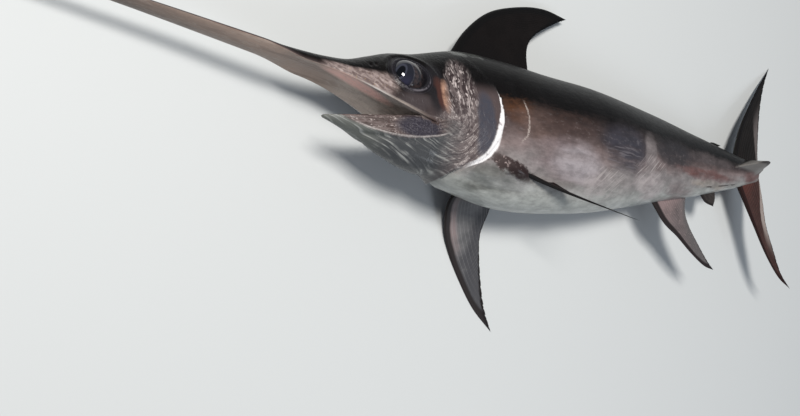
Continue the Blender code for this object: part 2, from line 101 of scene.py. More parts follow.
def surface(name, columns, rows, place, marks=None):
    """A closed surface: a grid whose points go to place(u, v), with doubled points merged. What
    marks(u, v) gives for each point is kept as the attribute "marks"."""
    bm = bmesh.new()
    bmesh.ops.create_grid(bm, x_segments=columns, y_segments=rows, size=0.5)
    spots = np.array([vert.co[:2] for vert in bm.verts]) + 0.5
    for vert, point in zip(bm.verts, place(*spots.T)):
        vert.co = point
    if marks:
        layer = bm.verts.layers.float_vector.new("marks")
        for vert, mark in zip(bm.verts, marks(*spots.T)):
            vert[layer] = mark
    bmesh.ops.remove_doubles(bm, verts=bm.verts, dist=1e-5)
    bmesh.ops.recalc_face_normals(bm, faces=bm.faces)
    mesh = bpy.data.meshes.new(name)
    bm.to_mesh(mesh)
    bm.free()
    obj = bpy.data.objects.new(name, mesh)
    bpy.context.collection.objects.link(obj)
    return obj


def rows_of(items, name="co"):
    """The places of a mesh's points, or another vector of each of its items, as rows."""
    values = np.empty(3 * len(items))
    items.foreach_get(name, values)
    return values.reshape(-1, 3)


def keep(mesh, name, values):
    """Store a number or a vector for each point of the mesh."""
    kind = "FLOAT_VECTOR" if values.ndim == 2 else "FLOAT"
    layer = mesh.attributes.new(name, kind, "POINT")
    layer.data.foreach_set("vector" if values.ndim == 2 else "value", values.ravel())


# The trunk above, below and beside its axis, as (x, distance)
BACK = [(0.26, 0.144), (0.42, 0.198), (0.56, 0.208), (0.75, 0.204), (0.95, 0.206), (1.15, 0.194),
        (1.35, 0.177), (1.55, 0.148), (1.75, 0.113), (1.90, 0.082), (2.00, 0.062), (2.09, 0.036)]
BELLY = [(0.26, 0.190), (0.42, 0.222), (0.56, 0.243), (0.70, 0.243), (0.85, 0.228), (1.00, 0.209),
         (1.15, 0.180), (1.35, 0.142), (1.55, 0.112), (1.75, 0.082), (1.90, 0.060), (2.00, 0.043),
         (2.09, 0.030)]
FLANK = [(0.26, 0.091), (0.42, 0.120), (0.56, 0.142), (0.75, 0.157), (0.95, 0.156), (1.15, 0.140),
         (1.35, 0.114), (1.55, 0.087), (1.75, 0.063), (1.90, 0.046), (2.00, 0.032), (2.09, 0.014)]
TRUNK_POWER = 2.2            # 2 is an ellipse, more is squarer
# The keels: their reach from the axis, their height on the flank, and where they end above and below
KEEL_REACH = [(1.780, 0.056), (1.860, 0.068), (1.930, 0.088), (1.992, 0.108), (2.030, 0.090),
              (2.066, 0.040)]
KEEL_HEIGHT = [(1.780, 0.006), (1.860, 0.020), (1.930, 0.029), (1.992, 0.036), (2.066, 0.020)]
KEEL_ABOVE = [(1.780, 0.011), (1.860, 0.026), (1.930, 0.032), (1.992, 0.026), (2.066, 0.012)]
KEEL_BELOW = [(1.780, 0.011), (1.860, 0.030), (1.930, 0.048), (1.992, 0.062), (2.066, 0.030)]
KEEL_START = (1.74, 1.79)
KEEL_FILLET = 0.004


def trunk_section(x, turn):
    """Place across x of the trunk, `turn` round from the belly by way of the left flank."""
    top, low, half = smooth(BACK, x), -smooth(BELLY, x), smooth(FLANK, x)
    up, out = -np.cos(2 * math.pi * turn), np.sin(2 * math.pi * turn)
    y = (top + low) / 2 + (top - low) / 2 * power(up, 2 / TRUNK_POWER)
    z = half * power(out, 2 / TRUNK_POWER)
    reach = smooth(KEEL_REACH, x) * step(*KEEL_START, x)
    rise = y - smooth(KEEL_HEIGHT, x)
    thinned = np.maximum(rise / smooth(KEEL_ABOVE, x), -rise / smooth(KEEL_BELOW, x))
    keel = reach * np.clip(1 - thinned, 0, 1)
    both = (np.abs(z) + keel + np.sqrt((np.abs(z) - keel) ** 2 + KEEL_FILLET ** 2)) / 2
    return y, np.where(keel > 0, np.sign(z) * both, z)


# The bill, a flat blunt-edged blade, as (x, size)
BILL_HALF_WIDTH = [(-0.86, 0.0035), (-0.80, 0.009), (-0.60, 0.020), (-0.40, 0.030), (-0.12, 0.042)]
BILL_HALF_DEPTH = [(-0.86, 0.0025), (-0.80, 0.005), (-0.60, 0.0075), (-0.40, 0.010), (-0.12, 0.014)]
BILL_HEIGHT = [(-0.86, 0.088), (-0.60, 0.076), (-0.40, 0.064), (-0.24, 0.051), (-0.12, 0.041)]
BILL_POWER = 1.7
LIP = 0.204                  # where the lips run, as a part of a turn from the belly


def bill_section(x, turn):
    """Place across x of the bill. Its edges go on into the lips."""
    side = np.where(turn < 0.5, turn, 1 - turn)
    quarter = np.where(side < LIP, 0.25 * side / LIP, 0.25 + 0.25 * (side - LIP) / (0.5 - LIP))
    up, out = -np.cos(2 * math.pi * quarter), np.sin(2 * math.pi * quarter)
    y = smooth(BILL_HEIGHT, x) + smooth(BILL_HALF_DEPTH, x) * power(up, 2 / BILL_POWER)
    z = smooth(BILL_HALF_WIDTH, x) * np.abs(out) ** (2 / BILL_POWER)
    return y, np.where(turn < 0.5, z, -z)


# The upper head, as (x, height) of crown and palate and (x, half width) of the cheeks
CROWN = [(-0.12, 0.055), (0.00, 0.060), (0.06, 0.070), (0.12, 0.096), (0.18, 0.123),
         (0.26, 0.145), (0.34, 0.174), (0.42, 0.198)]
PALATE = [(-0.12, 0.027), (0.00, 0.018), (0.10, 0.000), (0.20, -0.025), (0.30, -0.052), (0.42, -0.060)]
CHEEK = [(-0.12, 0.042), (0.00, 0.050), (0.10, 0.064), (0.20, 0.080), (0.26, 0.091), (0.42, 0.116)]
PALATE_ARCH = 0.006
FACE_TURN = 1.06             # the dome of the face, in half turns
FACE_POWER = 0.9
LIP_DROP = 0.119             # how far the dome's ends are below the palate, as a part of its height


def lip_height(x):
    edge = smooth(PALATE, x)
    return edge - LIP_DROP * (smooth(CROWN, x) - edge)


def face_section(x, turn):
    """Place across x of the upper head: a dome that ends in the lips, over the palate."""
    top, edge, half = smooth(CROWN, x), smooth(PALATE, x), smooth(CHEEK, x)
    angle = FACE_TURN * math.pi * (0.5 - turn) / (1 - 2 * LIP)
    dome_y = edge + (top - edge) * power(np.cos(angle), FACE_POWER)
    dome_z = half * np.sin(angle)
    across = np.where(turn < 0.5, turn, turn - 1) / LIP
    palate_y = lip_height(x) + PALATE_ARCH * (1 - across ** 2) * (1 - np.abs(across) ** 6)
    palate_z = half * 0.996 * across
    inside = np.abs(across) < 1
    return np.where(inside, palate_y, dome_y), np.where(inside, palate_z, dome_z)


BILL_TIP = -0.860
# Where one part of the skin goes over into the next, from x to x
BILL_TO_FACE = (-0.17, -0.05)
FACE_TO_TRUNK = (0.27, 0.40)
PALATE_TO_TRUNK = (0.298, 0.304)
MOUTH_BACK = 0.300
JAW_END = 0.37               # the jaw's tube runs on inside the head as far as this
THROAT_INSET = 0.010         # and the trunk stays this far inside the jaw's tube where they overlap
STALK_END = 2.064            # from here on the end of the tail stalk is rounded
STALK_ROUNDING = 0.030
# Cells along the skin, as (x where they end, cells)
CELLS_ALONG = [(-0.150, 90), (-0.020, 26), (0.296, 120), (0.306, 8), (0.560, 96), (0.700, 34),
               (1.700, 110), (2.070, 84), (2.094, 10)]
CELLS_ROUND = 120
# Most cells round the body lie on the upper flank: the share of them up to the left lip, the back, the
# right lip and the belly again
SHARES_ROUND = [0, 0.25, 0.60, 0.80, 1.0]
TURNS_ROUND = [0, LIP, 0.5, 1 - LIP, 1.0]


def skin_place(u, v):
    """Place on the skin: u runs from the tip of the bill to the tail, v once round the body."""
    counts = np.cumsum([0] + [cells for _, cells in CELLS_ALONG])
    x = np.interp(u * counts[-1], counts, [BILL_TIP] + [end for end, _ in CELLS_ALONG])
    turn = np.interp(v, SHARES_ROUND, TURNS_ROUND)
    bill, face, trunk = bill_section(x, turn), face_section(x, turn), trunk_section(x, turn)
    lower = (turn < LIP) | (turn > 1 - LIP)
    shrink = THROAT_INSET * (1 - step(MOUTH_BACK, JAW_END, x)) * lower / np.hypot(*trunk)
    joined = np.where(lower, step(*PALATE_TO_TRUNK, x), step(*FACE_TO_TRUNK, x))
    bill_share = 1 - step(*BILL_TO_FACE, x)
    places = []
    for axis in range(2):
        front = bill[axis] * bill_share + face[axis] * (1 - bill_share)
        places.append(front * (1 - joined) + trunk[axis] * (1 - shrink) * joined)
    past_end = np.clip((x - STALK_END) / STALK_ROUNDING, 0, 1)
    closing = np.sqrt(np.clip(1 - past_end ** 2, 0, 1)) * (u > 1e-4)
    middle = np.where(x < 0, smooth(BILL_HEIGHT, x), 0.0)
    return np.column_stack((x, middle + (places[0] - middle) * closing, places[1] * closing))


# The lower jaw, as (x, height) of its lips and its belly and (x, half width)
JAW_TOP = [(0.0, -0.093), (0.12, -0.079), (0.22, -0.063), (0.30, -0.0525)]
JAW_BELLY = [(0.0, -0.099), (0.036, -0.107), (0.10, -0.128), (0.17, -0.160), (0.24, -0.183),
             (0.30, -0.193)]
JAW_HALF_WIDTH = [(0.0, 0.003), (0.036, 0.019), (0.10, 0.042), (0.20, 0.068), (0.30, 0.089)]
JAW_POWER = 0.9
JAW_OUTSIDE = 0.66           # share of the section's cells that is outside the mouth
JAW_CELLS = (110, 64)
MOUTH_FLOOR_DIP = 0.012
DIP_LENGTH = 0.10            # the floor of the mouth is level at the tip and at full depth from here on
NECK, NECK_SHRINK = 0.29, 0.3        # from here to its end the tube shrinks, by this share


def jaw_place(u, v):
    """Place on the lower jaw: u runs from its tip into the head, v round its outside, then across
    the floor of the mouth."""
    x = JAW_END * u
    top, low, half = smooth(JAW_TOP, x), smooth(JAW_BELLY, x), smooth(JAW_HALF_WIDTH, x)
    angle = math.pi * (np.clip(v / JAW_OUTSIDE, 0, 1) - 0.5)
    across = np.clip((v - JAW_OUTSIDE) / (1 - JAW_OUTSIDE), 0, 1)
    dip = MOUTH_FLOOR_DIP * np.clip(x / DIP_LENGTH, 0, 1) * np.sin(math.pi * across) ** 0.6
    outside = v < JAW_OUTSIDE
    y = np.where(outside, top + (low - top) * np.abs(np.cos(angle)) ** JAW_POWER, top - dip)
    z = np.where(outside, half * np.sin(angle), half * (1 - 2 * across))
    middle = (top + low) / 2
    sunk = 1 - NECK_SHRINK * step(NECK, JAW_END, x)
    closing = sunk * (u > 1e-4) * (u < 1 - 1e-4)
    return np.column_stack((x, middle + (y - middle) * closing, z * closing))


def union(target, tool):
    """Join the closed surface of the tool to the target, and remove the tool."""
    modifier = target.modifiers.new("union", "BOOLEAN")
    modifier.operation = "UNION"
    modifier.solver = "MANIFOLD"
    modifier.object = tool
    joined = target.evaluated_get(bpy.context.evaluated_depsgraph_get())
    mesh = bpy.data.meshes.new_from_object(joined)
    target.modifiers.clear()
    target.data = mesh
    bpy.data.objects.remove(tool)


def soften(mesh, chosen, rounds):
    """Smooth the chosen points, over a number of rounds."""
    bm = bmesh.new()
    bm.from_mesh(mesh)
    bm.verts.ensure_lookup_table()
    verts = [bm.verts[i] for i in np.flatnonzero(chosen)]
    for _ in range(rounds):
        bmesh.ops.smooth_vert(bm, verts=verts, factor=0.5, use_axis_x=True, use_axis_y=True,
                              use_axis_z=True)
    bm.to_mesh(mesh)
    bm.free()


GILL_EDGE = [(-0.30, 0.300), (-0.215, 0.330), (-0.18, 0.378), (-0.154, 0.437), (-0.126, 0.466),
             (-0.084, 0.490), (-0.037, 0.500), (0.004, 0.498), (0.051, 0.486), (0.10, 0.460),
             (0.15, 0.425), (0.20, 0.400), (0.30, 0.385)]        # (height, x)
GILL_RISE, GILL_RISE_WIDTH = 0.0055, 0.040
GILL_DIP, GILL_DIP_WIDTH = 0.0045, 0.020
GILL_TOP = (0.02, 0.08)      # the edge fades out between these heights
SIDES = (0.02, 0.04)         # and the folds between these distances from the middle of the fish
EYE_CENTRE = (0.226, 0.049, 0.056)
EYE_RADII = (0.050, 0.044, 0.032)
EYE_SOCKET = 0.017
# Rings round the eye, as (place, counted from its centre in its own radii, width, rise)
EYE_RINGS = [(1.04, 0.10, 0.0045), (1.30, 0.10, -0.0030), (1.52, 0.12, 0.0022)]
LIP_RISE, LIP_MIDDLE, LIP_WIDTH = 0.0025, 0.008, 0.006
LIPS_FRONT, LIPS_BACK = (-0.02, 0.03), (0.30, 0.34)
JAW_GROOVE = [(0.06, -0.113), (0.112, -0.124), (0.170, -0.127), (0.237, -0.125), (0.300, -0.110),
              (0.34, -0.080)]
# The ridge above this groove and the groove itself, as (place above the line, width, rise)
JAW_FOLDS = [(0.007, 0.006, 0.0040), (-0.003, 0.005, -0.0050)]
JAW_FOLDS_FRONT, JAW_FOLDS_BACK, JAW_FOLDS_TOP = (0.06, 0.12), (0.26, 0.34), -0.07
PLEAT_RISE = 0.0013
PLEATS_UP, PLEATS_ALONG = 230, 9     # radians of the pleats' wave for each metre
PLEATS_FRONT, PLEATS_BACK, PLEATS_TOP = (0.08, 0.14), (0.36, 0.44), -0.004
FIN_ROOT = (0.560, -0.163)
FIN_ROOT_RISE = 0.015
FIN_ROOT_RADII = (0.048, 0.014)
NOSTRILS = [(0.112, 0.052), (0.128, 0.057)]
NOSTRIL_DEPTH, NOSTRIL_WIDTH = 0.003, 0.0045
# Shallow hollows and swellings of the flank, as (place, radii, rise)
DENTS = [((0.560, 0.000), (0.030, 0.120), -0.0035), ((0.640, -0.020), (0.045, 0.130), 0.0025),
         ((0.930, -0.070), (0.035, 0.160), -0.0030), ((1.190, -0.020), (0.045, 0.120), 0.0025),
         ((1.500, -0.010), (0.120, 0.030), -0.0030), ((0.390, 0.090), (0.050, 0.050), -0.0030)]


def from_fin_root(x, y, root):
    """Distances along and across the root of the left pectoral fin, which slants down and back."""
    return (x - root[0]) * 0.95 - (y - root[1]) * 0.31, (x - root[0]) * 0.31 + (y - root[1]) * 0.95


def raised(x, y, z, normals):
    """How far the folds of the skin stand out of the smooth form."""
    side = step(*SIDES, np.abs(z))
    behind = x - smooth(GILL_EDGE, y)
    cover = np.where(behind < 0, GILL_RISE * bump(behind, GILL_RISE_WIDTH),
                     -GILL_DIP * bump(behind, GILL_DIP_WIDTH))
    rise = (1 - step(*GILL_TOP, y)) * side * cover
    from_eye = np.hypot((x - EYE_CENTRE[0]) / EYE_RADII[0], (y - EYE_CENTRE[1]) / EYE_RADII[1])
    rings = sum(height * bump(from_eye - place, width) for place, width, height in EYE_RINGS)
    rise += side * (rings - EYE_SOCKET * (1 - step(0.80, 0.95, from_eye)))
    lips = between(LIPS_FRONT, LIPS_BACK, x) * step(-0.3, 0.2, normals[:, 1])
    rise += LIP_RISE * lips * bump(y - lip_height(x) - LIP_MIDDLE, LIP_WIDTH)
    jaw = between(JAW_FOLDS_FRONT, JAW_FOLDS_BACK, x) * (y < JAW_FOLDS_TOP)
    above = y - smooth(JAW_GROOVE, x)
    for place, width, height in JAW_FOLDS:
        rise += jaw * height * bump(above - place, width)
    above_belly = y - smooth(JAW_BELLY, np.minimum(x, MOUTH_BACK))
    throat = between(PLEATS_FRONT, PLEATS_BACK, x) * (above < PLEATS_TOP) * side
    rise += PLEAT_RISE * throat * np.sin(PLEATS_UP * above_belly + PLEATS_ALONG * x)
    along, aside = from_fin_root(x, y, FIN_ROOT)
    root = bump(along, FIN_ROOT_RADII[0]) * bump(aside, FIN_ROOT_RADII[1])
    rise += FIN_ROOT_RISE * (z > 0.03) * root
    for place in NOSTRILS:
        rise -= NOSTRIL_DEPTH * side * bump(np.hypot(x - place[0], y - place[1]), NOSTRIL_WIDTH)
    for place, radii, depth in DENTS:
        hollow = np.hypot((x - place[0]) / radii[0], (y - place[1]) / radii[1])
        rise += side * depth * bump(hollow, 0.6)
    return rise


def keep_marks(mesh, points, normals):
    """Keep what the paint goes by: height from belly, -1, to back, 1, distance behind the gill's edge,
    the roof of the mouth, place across the head from its middle, 0, to its side, 1, and how far out on
    a keel."""
    x, y, z = points.T
    lip = lip_height(x)
    upper, lower = (y - lip) / (smooth(CROWN, x) - lip), (y - lip) / (lip - smooth(JAW_BELLY, x))
    face = np.where(y > lip, upper, lower)
    bill = (y - smooth(BILL_HEIGHT, x)) / smooth(BILL_HALF_DEPTH, x)
    trunk = (2 * y - smooth(BACK, x) + smooth(BELLY, x)) / (smooth(BACK, x) + smooth(BELLY, x))
    height = bill + (face - bill) * step(-0.16, -0.06, x)
    keep(mesh, "height", height + (trunk - height) * step(0.24, 0.42, x))
    keep(mesh, "gill", x - smooth(GILL_EDGE, y))
    keep(mesh, "palate", step(0.25, 0.6, -normals[:, 1]) * (y > lip - 0.006) * (x < 0.302))
    keep(mesh, "across", np.abs(z) / smooth(np.concatenate((BILL_HALF_WIDTH[:4], CHEEK)), x))
    keep(mesh, "keel", (np.abs(z) - smooth(FLANK, x)) / smooth(KEEL_REACH, x) * (x > 1.75))


def settle(mesh, straight, placed):
    """Keep the straight places of a mesh's points and move them to where they lie on the floor."""
    keep(mesh, "fish", straight)
    placed[:, 2] = np.maximum(placed[:, 2], 0.0)
    mesh.vertices.foreach_set("co", placed.ravel())
    mesh.shade_smooth()


MOUTH_CORNER, CORNER_ROUNDS = (0.292, 0.38), 12      # where the two tubes meet, and how it is smoothed


def make_skin():
    skin = surface("skin", sum(cells for _, cells in CELLS_ALONG), CELLS_ROUND, skin_place)
    union(skin, surface("jaw", *JAW_CELLS, jaw_place))
    x, y, _ = rows_of(skin.data.vertices).T
    corner = (x > MOUTH_CORNER[0]) & (x < MOUTH_CORNER[1]) & (y < lip_height(x) + 0.01)
    soften(skin.data, corner, CORNER_ROUNDS)
    points, normals = rows_of(skin.data.vertices), rows_of(skin.data.vertex_normals, "vector")
    points += normals * raised(*points.T, normals)[:, None]
    keep_marks(skin.data, points, normals)
    settle(skin.data, points, lay(points))
    return skin


class Value:
    """A socket of a shader tree that can be added, multiplied and so on."""

    def __init__(self, tree, socket):
        self.tree, self.socket = tree, socket

    def node(self, kind, settings=(), output=0, **inputs):
        """A node of any type, with its settings and with values or links for its inputs. An input is
        given by its name, or by i and its number."""
        made = self.tree.nodes.new(kind)
        for key, value in dict(settings).items():
            setattr(made, key, value)
        for key, value in inputs.items():
            socket = made.inputs[int(key[1:]) if key[1:].isdigit() else key.replace("_", " ")]
            if isinstance(value, Value):
                self.tree.links.new(value.socket, socket)
            else:
                socket.default_value = value
        return Value(self.tree, made.outputs[output])

    def math(self, operation, *others):
        """A Math node on this value and the others."""
        inputs = {f"i{i}": value for i, value in enumerate((self, *others))}
        return self.node("ShaderNodeMath", {"operation": operation}, **inputs)

    def __add__(self, other):
        return self.math("ADD", other)

    def __sub__(self, other):
        return self.math("SUBTRACT", other)

    def __rsub__(self, other):
        return self.node("ShaderNodeMath", {"operation": "SUBTRACT"}, i0=other, i1=self)

    def __mul__(self, other):
        return self.math("MULTIPLY", other)

    def __truediv__(self, other):
        return self.math("DIVIDE", other)

    __radd__ = __add__
    __rmul__ = __mul__

    def hypot(self, other):
        return (self * self + other * other).math("SQRT")

    def step(self, low, high):
        """0 below low, 1 above high, and smooth between them. With low above high it falls instead."""
        return self.node("ShaderNodeMapRange", {"interpolation_type": "SMOOTHSTEP"},
                         Value=self, From_Min=low, From_Max=high)

    def near(self, centre, width):
        """1 at the centre, falling smoothly to 0 at the width from it."""
        return (self - centre).math("ABSOLUTE").step(width, 0.0)

    def mix(self, first, second):
        """The first colour where this value is 0, the second where it is 1. A colour is another value
        or linear red, green and blue."""
        first, second = ((*tint, 1) if isinstance(tint, tuple) else tint for tint in (first, second))
        return self.node("ShaderNodeMix", {"data_type": "RGBA"}, output=2, i0=self, i6=first, i7=second)

    def noise(self, scale, detail=4.0, roughness=0.55, distortion=0.0):
        return self.node("ShaderNodeTexNoise", Vector=self, Scale=scale, Detail=detail,
                         Roughness=roughness, Distortion=distortion)

    def streaks(self, along, spacing, length, detail=2.0):
        """A noise drawn out along one direction, to wrinkle the skin across this value."""
        place = self.node("ShaderNodeCombineXYZ", X=self / spacing, Y=along / length)
        return place.noise(1.0, detail, 0.5)

    def scaled(self, factor):
        """This colour made lighter or darker by a factor."""
        return self.node("ShaderNodeVectorMath", {"operation": "SCALE"}, i0=self, Scale=factor)

    def stretched(self, scale):
        """This place with each direction scaled by itself."""
        return self.node("ShaderNodeVectorMath", {"operation": "MULTIPLY"}, i0=self, i1=scale)

    def parts(self):
        made = self.node("ShaderNodeSeparateXYZ", i0=self).socket.node
        return [Value(self.tree, socket) for socket in made.outputs]


def paint(name, **constants):
    """A material with its tree and shader. The constants are the shader's own values."""
    material = bpy.data.materials.new(name)
    material.use_nodes = True
    tree = material.node_tree
    shader = tree.nodes["Principled BSDF"]
    for key, value in constants.items():
        shader.inputs[key.replace("_", " ")].default_value = value
    return material, tree, shader


def attribute(tree, name, output="Fac"):
    """What the piece keeps for each point under this name: a number, or as "Vector" a vector."""
    return Value(tree, None).node("ShaderNodeAttribute", {"attribute_name": name}, output)


def spot(x, y, place, radii, soft=0.6):
    """1 inside an ellipse on the flank, fading to 0 at its edge."""
    across, up = (x - place[0]) / radii[0], (y - place[1]) / radii[1]
    return (across * across + up * up).step(1.0, 1.0 - soft)


BELLY_WHITE = (0.380, 0.392, 0.370)
BELLY_GREY = (0.235, 0.215, 0.212)
BACK_BLACK = (0.0040, 0.0033, 0.0032)
# Tints of the flank from the belly up, as (where each begins, where it is full, colour)
FLANK_TINTS = [(-0.60, -0.34, (0.186, 0.146, 0.142)), (-0.38, -0.16, (0.098, 0.072, 0.069)),
               (-0.20, 0.00, (0.048, 0.036, 0.036)), (-0.02, 0.18, (0.020, 0.014, 0.013))]
# Broad patches on the flank, as (place, radii, colour, share). Among them the pale violet oval low on the
# front flank is painted sheen, a painted reflection of light on the wet skin, and the dark patch low under
# the pectoral fins is partly painted shade.
FLANK_SHEENS_AND_PATCHES = [((0.550, 0.030), (0.065, 0.080), (0.092, 0.040, 0.020), 0.85),
          ((0.610, -0.030), (0.100, 0.070), (0.120, 0.078, 0.066), 0.6),
          # painted sheen: a painted reflection of light on the wet lower front flank
          ((0.740, -0.120), (0.210, 0.090), (0.190, 0.150, 0.156), 0.8),
          ((0.740, 0.000), (0.170, 0.062), (0.062, 0.038, 0.032), 0.65),
          # the brighter core of that painted sheen, also a painted reflection
          ((0.785, -0.118), (0.130, 0.070), (0.330, 0.303, 0.318), 0.85),
          ((1.020, -0.030), (0.150, 0.105), (0.038, 0.037, 0.048), 0.95),
          ((1.340, 0.010), (0.170, 0.080), (0.024, 0.023, 0.026), 0.8),
          ((1.160, -0.020), (0.046, 0.095), (0.215, 0.190, 0.190), 0.8),
          ((1.190, -0.120), (0.130, 0.045), (0.370, 0.325, 0.325), 0.75),
          ((0.880, -0.160), (0.090, 0.040), (0.340, 0.300, 0.300), 0.6),
          # partly the belly's own dark greenish grey, partly painted shade under the root of the right
          # pectoral fin
          ((0.500, -0.192), (0.140, 0.042), (0.072, 0.075, 0.066), 0.9),
          ((1.440, -0.112), (0.150, 0.034), (0.170, 0.130, 0.130), 0.8),
          ((1.640, 0.030), (0.240, 0.034), (0.090, 0.074, 0.074), 0.8),
          ((1.600, -0.036), (0.300, 0.028), (0.120, 0.050, 0.044), 0.9),
          ((1.640, -0.068), (0.200, 0.016), (0.290, 0.250, 0.215), 0.8),
          ((2.010, -0.022), (0.110, 0.034), (0.110, 0.040, 0.034), 0.9)]


def flank_colour(level, x, y, streak, fine):
    """The body from pale belly to black back, with its patches of tone, painted sheen and painted shade.
    """
    colour = level.step(-1.0, -0.62).mix(BELLY_WHITE, BELLY_GREY)
    for low, high, tint in FLANK_TINTS:
        colour = level.step(low, high).mix(colour, tint)
    # patches of the fish's own tone, with painted sheen and painted shade among them
    for place, radii, tint, share in FLANK_SHEENS_AND_PATCHES:
        flank_patch = spot(x, y, place, radii, 0.95) * (streak.step(0.30, 0.60) * 0.5 + 0.5)
        colour = (flank_patch * share).mix(colour, tint)
    return ((fine - 0.5) * 0.4 + level).step(0.10, 0.34).mix(colour, BACK_BLACK)


# The flesh darkens towards the fin, where painted shade of the fin lies on it
RAW_FLESH, RAW_FLESH_IN_SHADE = (0.055, 0.038, 0.036), (0.018, 0.008, 0.008)
RAW_FLECK = (0.34, 0.27, 0.26)
RAW_PLACE = (0.535, -0.160)
RAW_RADII = (0.105, 0.022)


def fin_root_colour(colour, fish, x, y, z):
    """The raw flesh at the root of the left pectoral fin, dark red-brown and darker still towards the fin,
    where painted shade of the fin lies on it, with its pale flecks.
    """
    fleck = fish.noise(80.0, 4.0, 0.7)
    ragged = fish.noise(55.0, 3.0, 0.6) - 0.5
    along, aside = from_fin_root(x, y, RAW_PLACE)
    flesh = spot(along + ragged * 0.05, aside + ragged * 0.03, (0.0, 0.0), RAW_RADII, 0.7)
    flesh = flesh * z.step(0.02, 0.04)
    # darker towards the fin: painted shade of the fin over the dark flesh
    colour = (flesh * 0.95).mix(colour, along.step(-0.06, 0.03).mix(RAW_FLESH, RAW_FLESH_IN_SHADE))
    return (flesh * fleck.step(0.56, 0.64) * along.step(0.05, -0.02)).mix(colour, RAW_FLECK)


CHEEK_CENTRE = (0.330, -0.030)
CHEEK_SLANT = 0.10           # how much the lines behind the eye lean forward as they rise


def wrinkles(x, y, bend):
    """The wrinkles of the skin: lines that run fore and aft over the snout, up and down behind the eye,
    round the cheek, along jaw and throat, and, rippled or rubbed, on the flank."""
    across_cheek, up_cheek = x - CHEEK_CENTRE[0], y - CHEEK_CENTRE[1]
    round_cheek = up_cheek.math("ARCTAN2", across_cheek)
    return {
        "front": (y + x * 0.35 + bend * 0.02).streaks(x, 0.0070, 0.045),
        "upright": (x + y * CHEEK_SLANT + bend * 0.06).streaks(y, 0.0095, 0.090, 3.0),
        "arcs": (across_cheek.hypot(up_cheek) + bend * 0.05).streaks(round_cheek, 0.0085, 0.80, 3.0),
        "jaw": (y - x * 0.10 + bend * 0.02).streaks(x, 0.0050, 0.060),
        "throat": (y + x * 0.42 + bend * 0.02).streaks(x - y * 0.42, 0.0052, 0.120),
        "ripple": (y + bend * 0.03).streaks(x, 0.0085, 0.080),
        "rubbed": (y - x * 0.90 + bend * 0.02).streaks(x + y * 0.90, 0.0070, 0.120, 3.0),
    }


TEMPLE_BROWN = (0.080, 0.060, 0.060)
SNOUT_BROWN, SNOUT_SHINE = (0.150, 0.110, 0.104), (0.44, 0.36, 0.34)
SNOUT_FLECK = (0.38, 0.27, 0.13)
# Black painted in the nostrils: painted shade in their hollows
NOSTRIL_SHADE = (0.012, 0.009, 0.009)
# Patches of paint are given as (place, radii), here and below
SNOUT_PATCH = ((0.085, 0.010), (0.120, 0.062))
NOSTRIL_RADII = (0.0045, 0.0035)


def snout_colour(colour, lines, blot, speck, height, x, y):
    """The brown snout with its silver shine, its ochre flecks and the nostrils, whose hollows are painted
    black as shade.
    """
    front = spot(x, y, *SNOUT_PATCH, 0.7)
    front = front * height.step(0.50, 0.34) * height.step(-0.02, 0.04)
    colour = (front * 0.9).mix(colour, SNOUT_BROWN)
    shine = lines["front"].step(0.44, 0.66) * 0.45 + blot.step(0.42, 0.64) * 0.5
    colour = (front * shine).mix(colour, SNOUT_SHINE)
    colour = (front * speck.step(0.60, 0.72) * x.step(0.01, 0.05) * 0.7).mix(colour, SNOUT_FLECK)
    # the nostrils painted black as shade in their hollows
    for place in NOSTRILS:
        colour = (spot(x, y, place, NOSTRIL_RADII, 0.8) * 0.9).mix(colour, NOSTRIL_SHADE)
    return colour


UNDER_EYE, BEHIND_EYE = (0.062, 0.050, 0.052), (0.015, 0.014, 0.016)
RUST, OCHRE = (0.070, 0.030, 0.024), (0.46, 0.270, 0.190)
CHEEK_BROWN, CHEEK_SILVER = (0.044, 0.030, 0.031), (0.40, 0.33, 0.32)
# Thin pale lines on the cheek's wrinkles: painted glints of light on the wet skin
CHEEK_GLINT = (0.66, 0.58, 0.56)
# A black line in the crease behind the ochre streak: painted shade
CREASE_SHADE = (0.010, 0.007, 0.007)
JOWL_BROWN, JOWL_SILVER = (0.076, 0.060, 0.062), (0.30, 0.25, 0.24)
# Thin pale lines on the jowl's wrinkles: painted glints of light on the wet skin
JOWL_GLINT = (0.55, 0.49, 0.47)
UNDER_EYE_PATCH = ((0.235, -0.026), (0.060, 0.034))
BEHIND_EYE_PATCH = ((0.296, 0.020), (0.034, 0.100))
RUST_PATCH = ((0.309, 0.004), (0.018, 0.060))
OCHRE_PATCH = ((0.325, -0.002), (0.017, 0.058))
CHEEK_PATCH = ((0.372, 0.010), (0.056, 0.135))
JOWL_PATCH = ((0.372, -0.110), (0.110, 0.095))
CREASE_PLACE, CREASE_WIDTH, CREASE_REACH = (0.3385, 0.030), 0.0028, 0.060


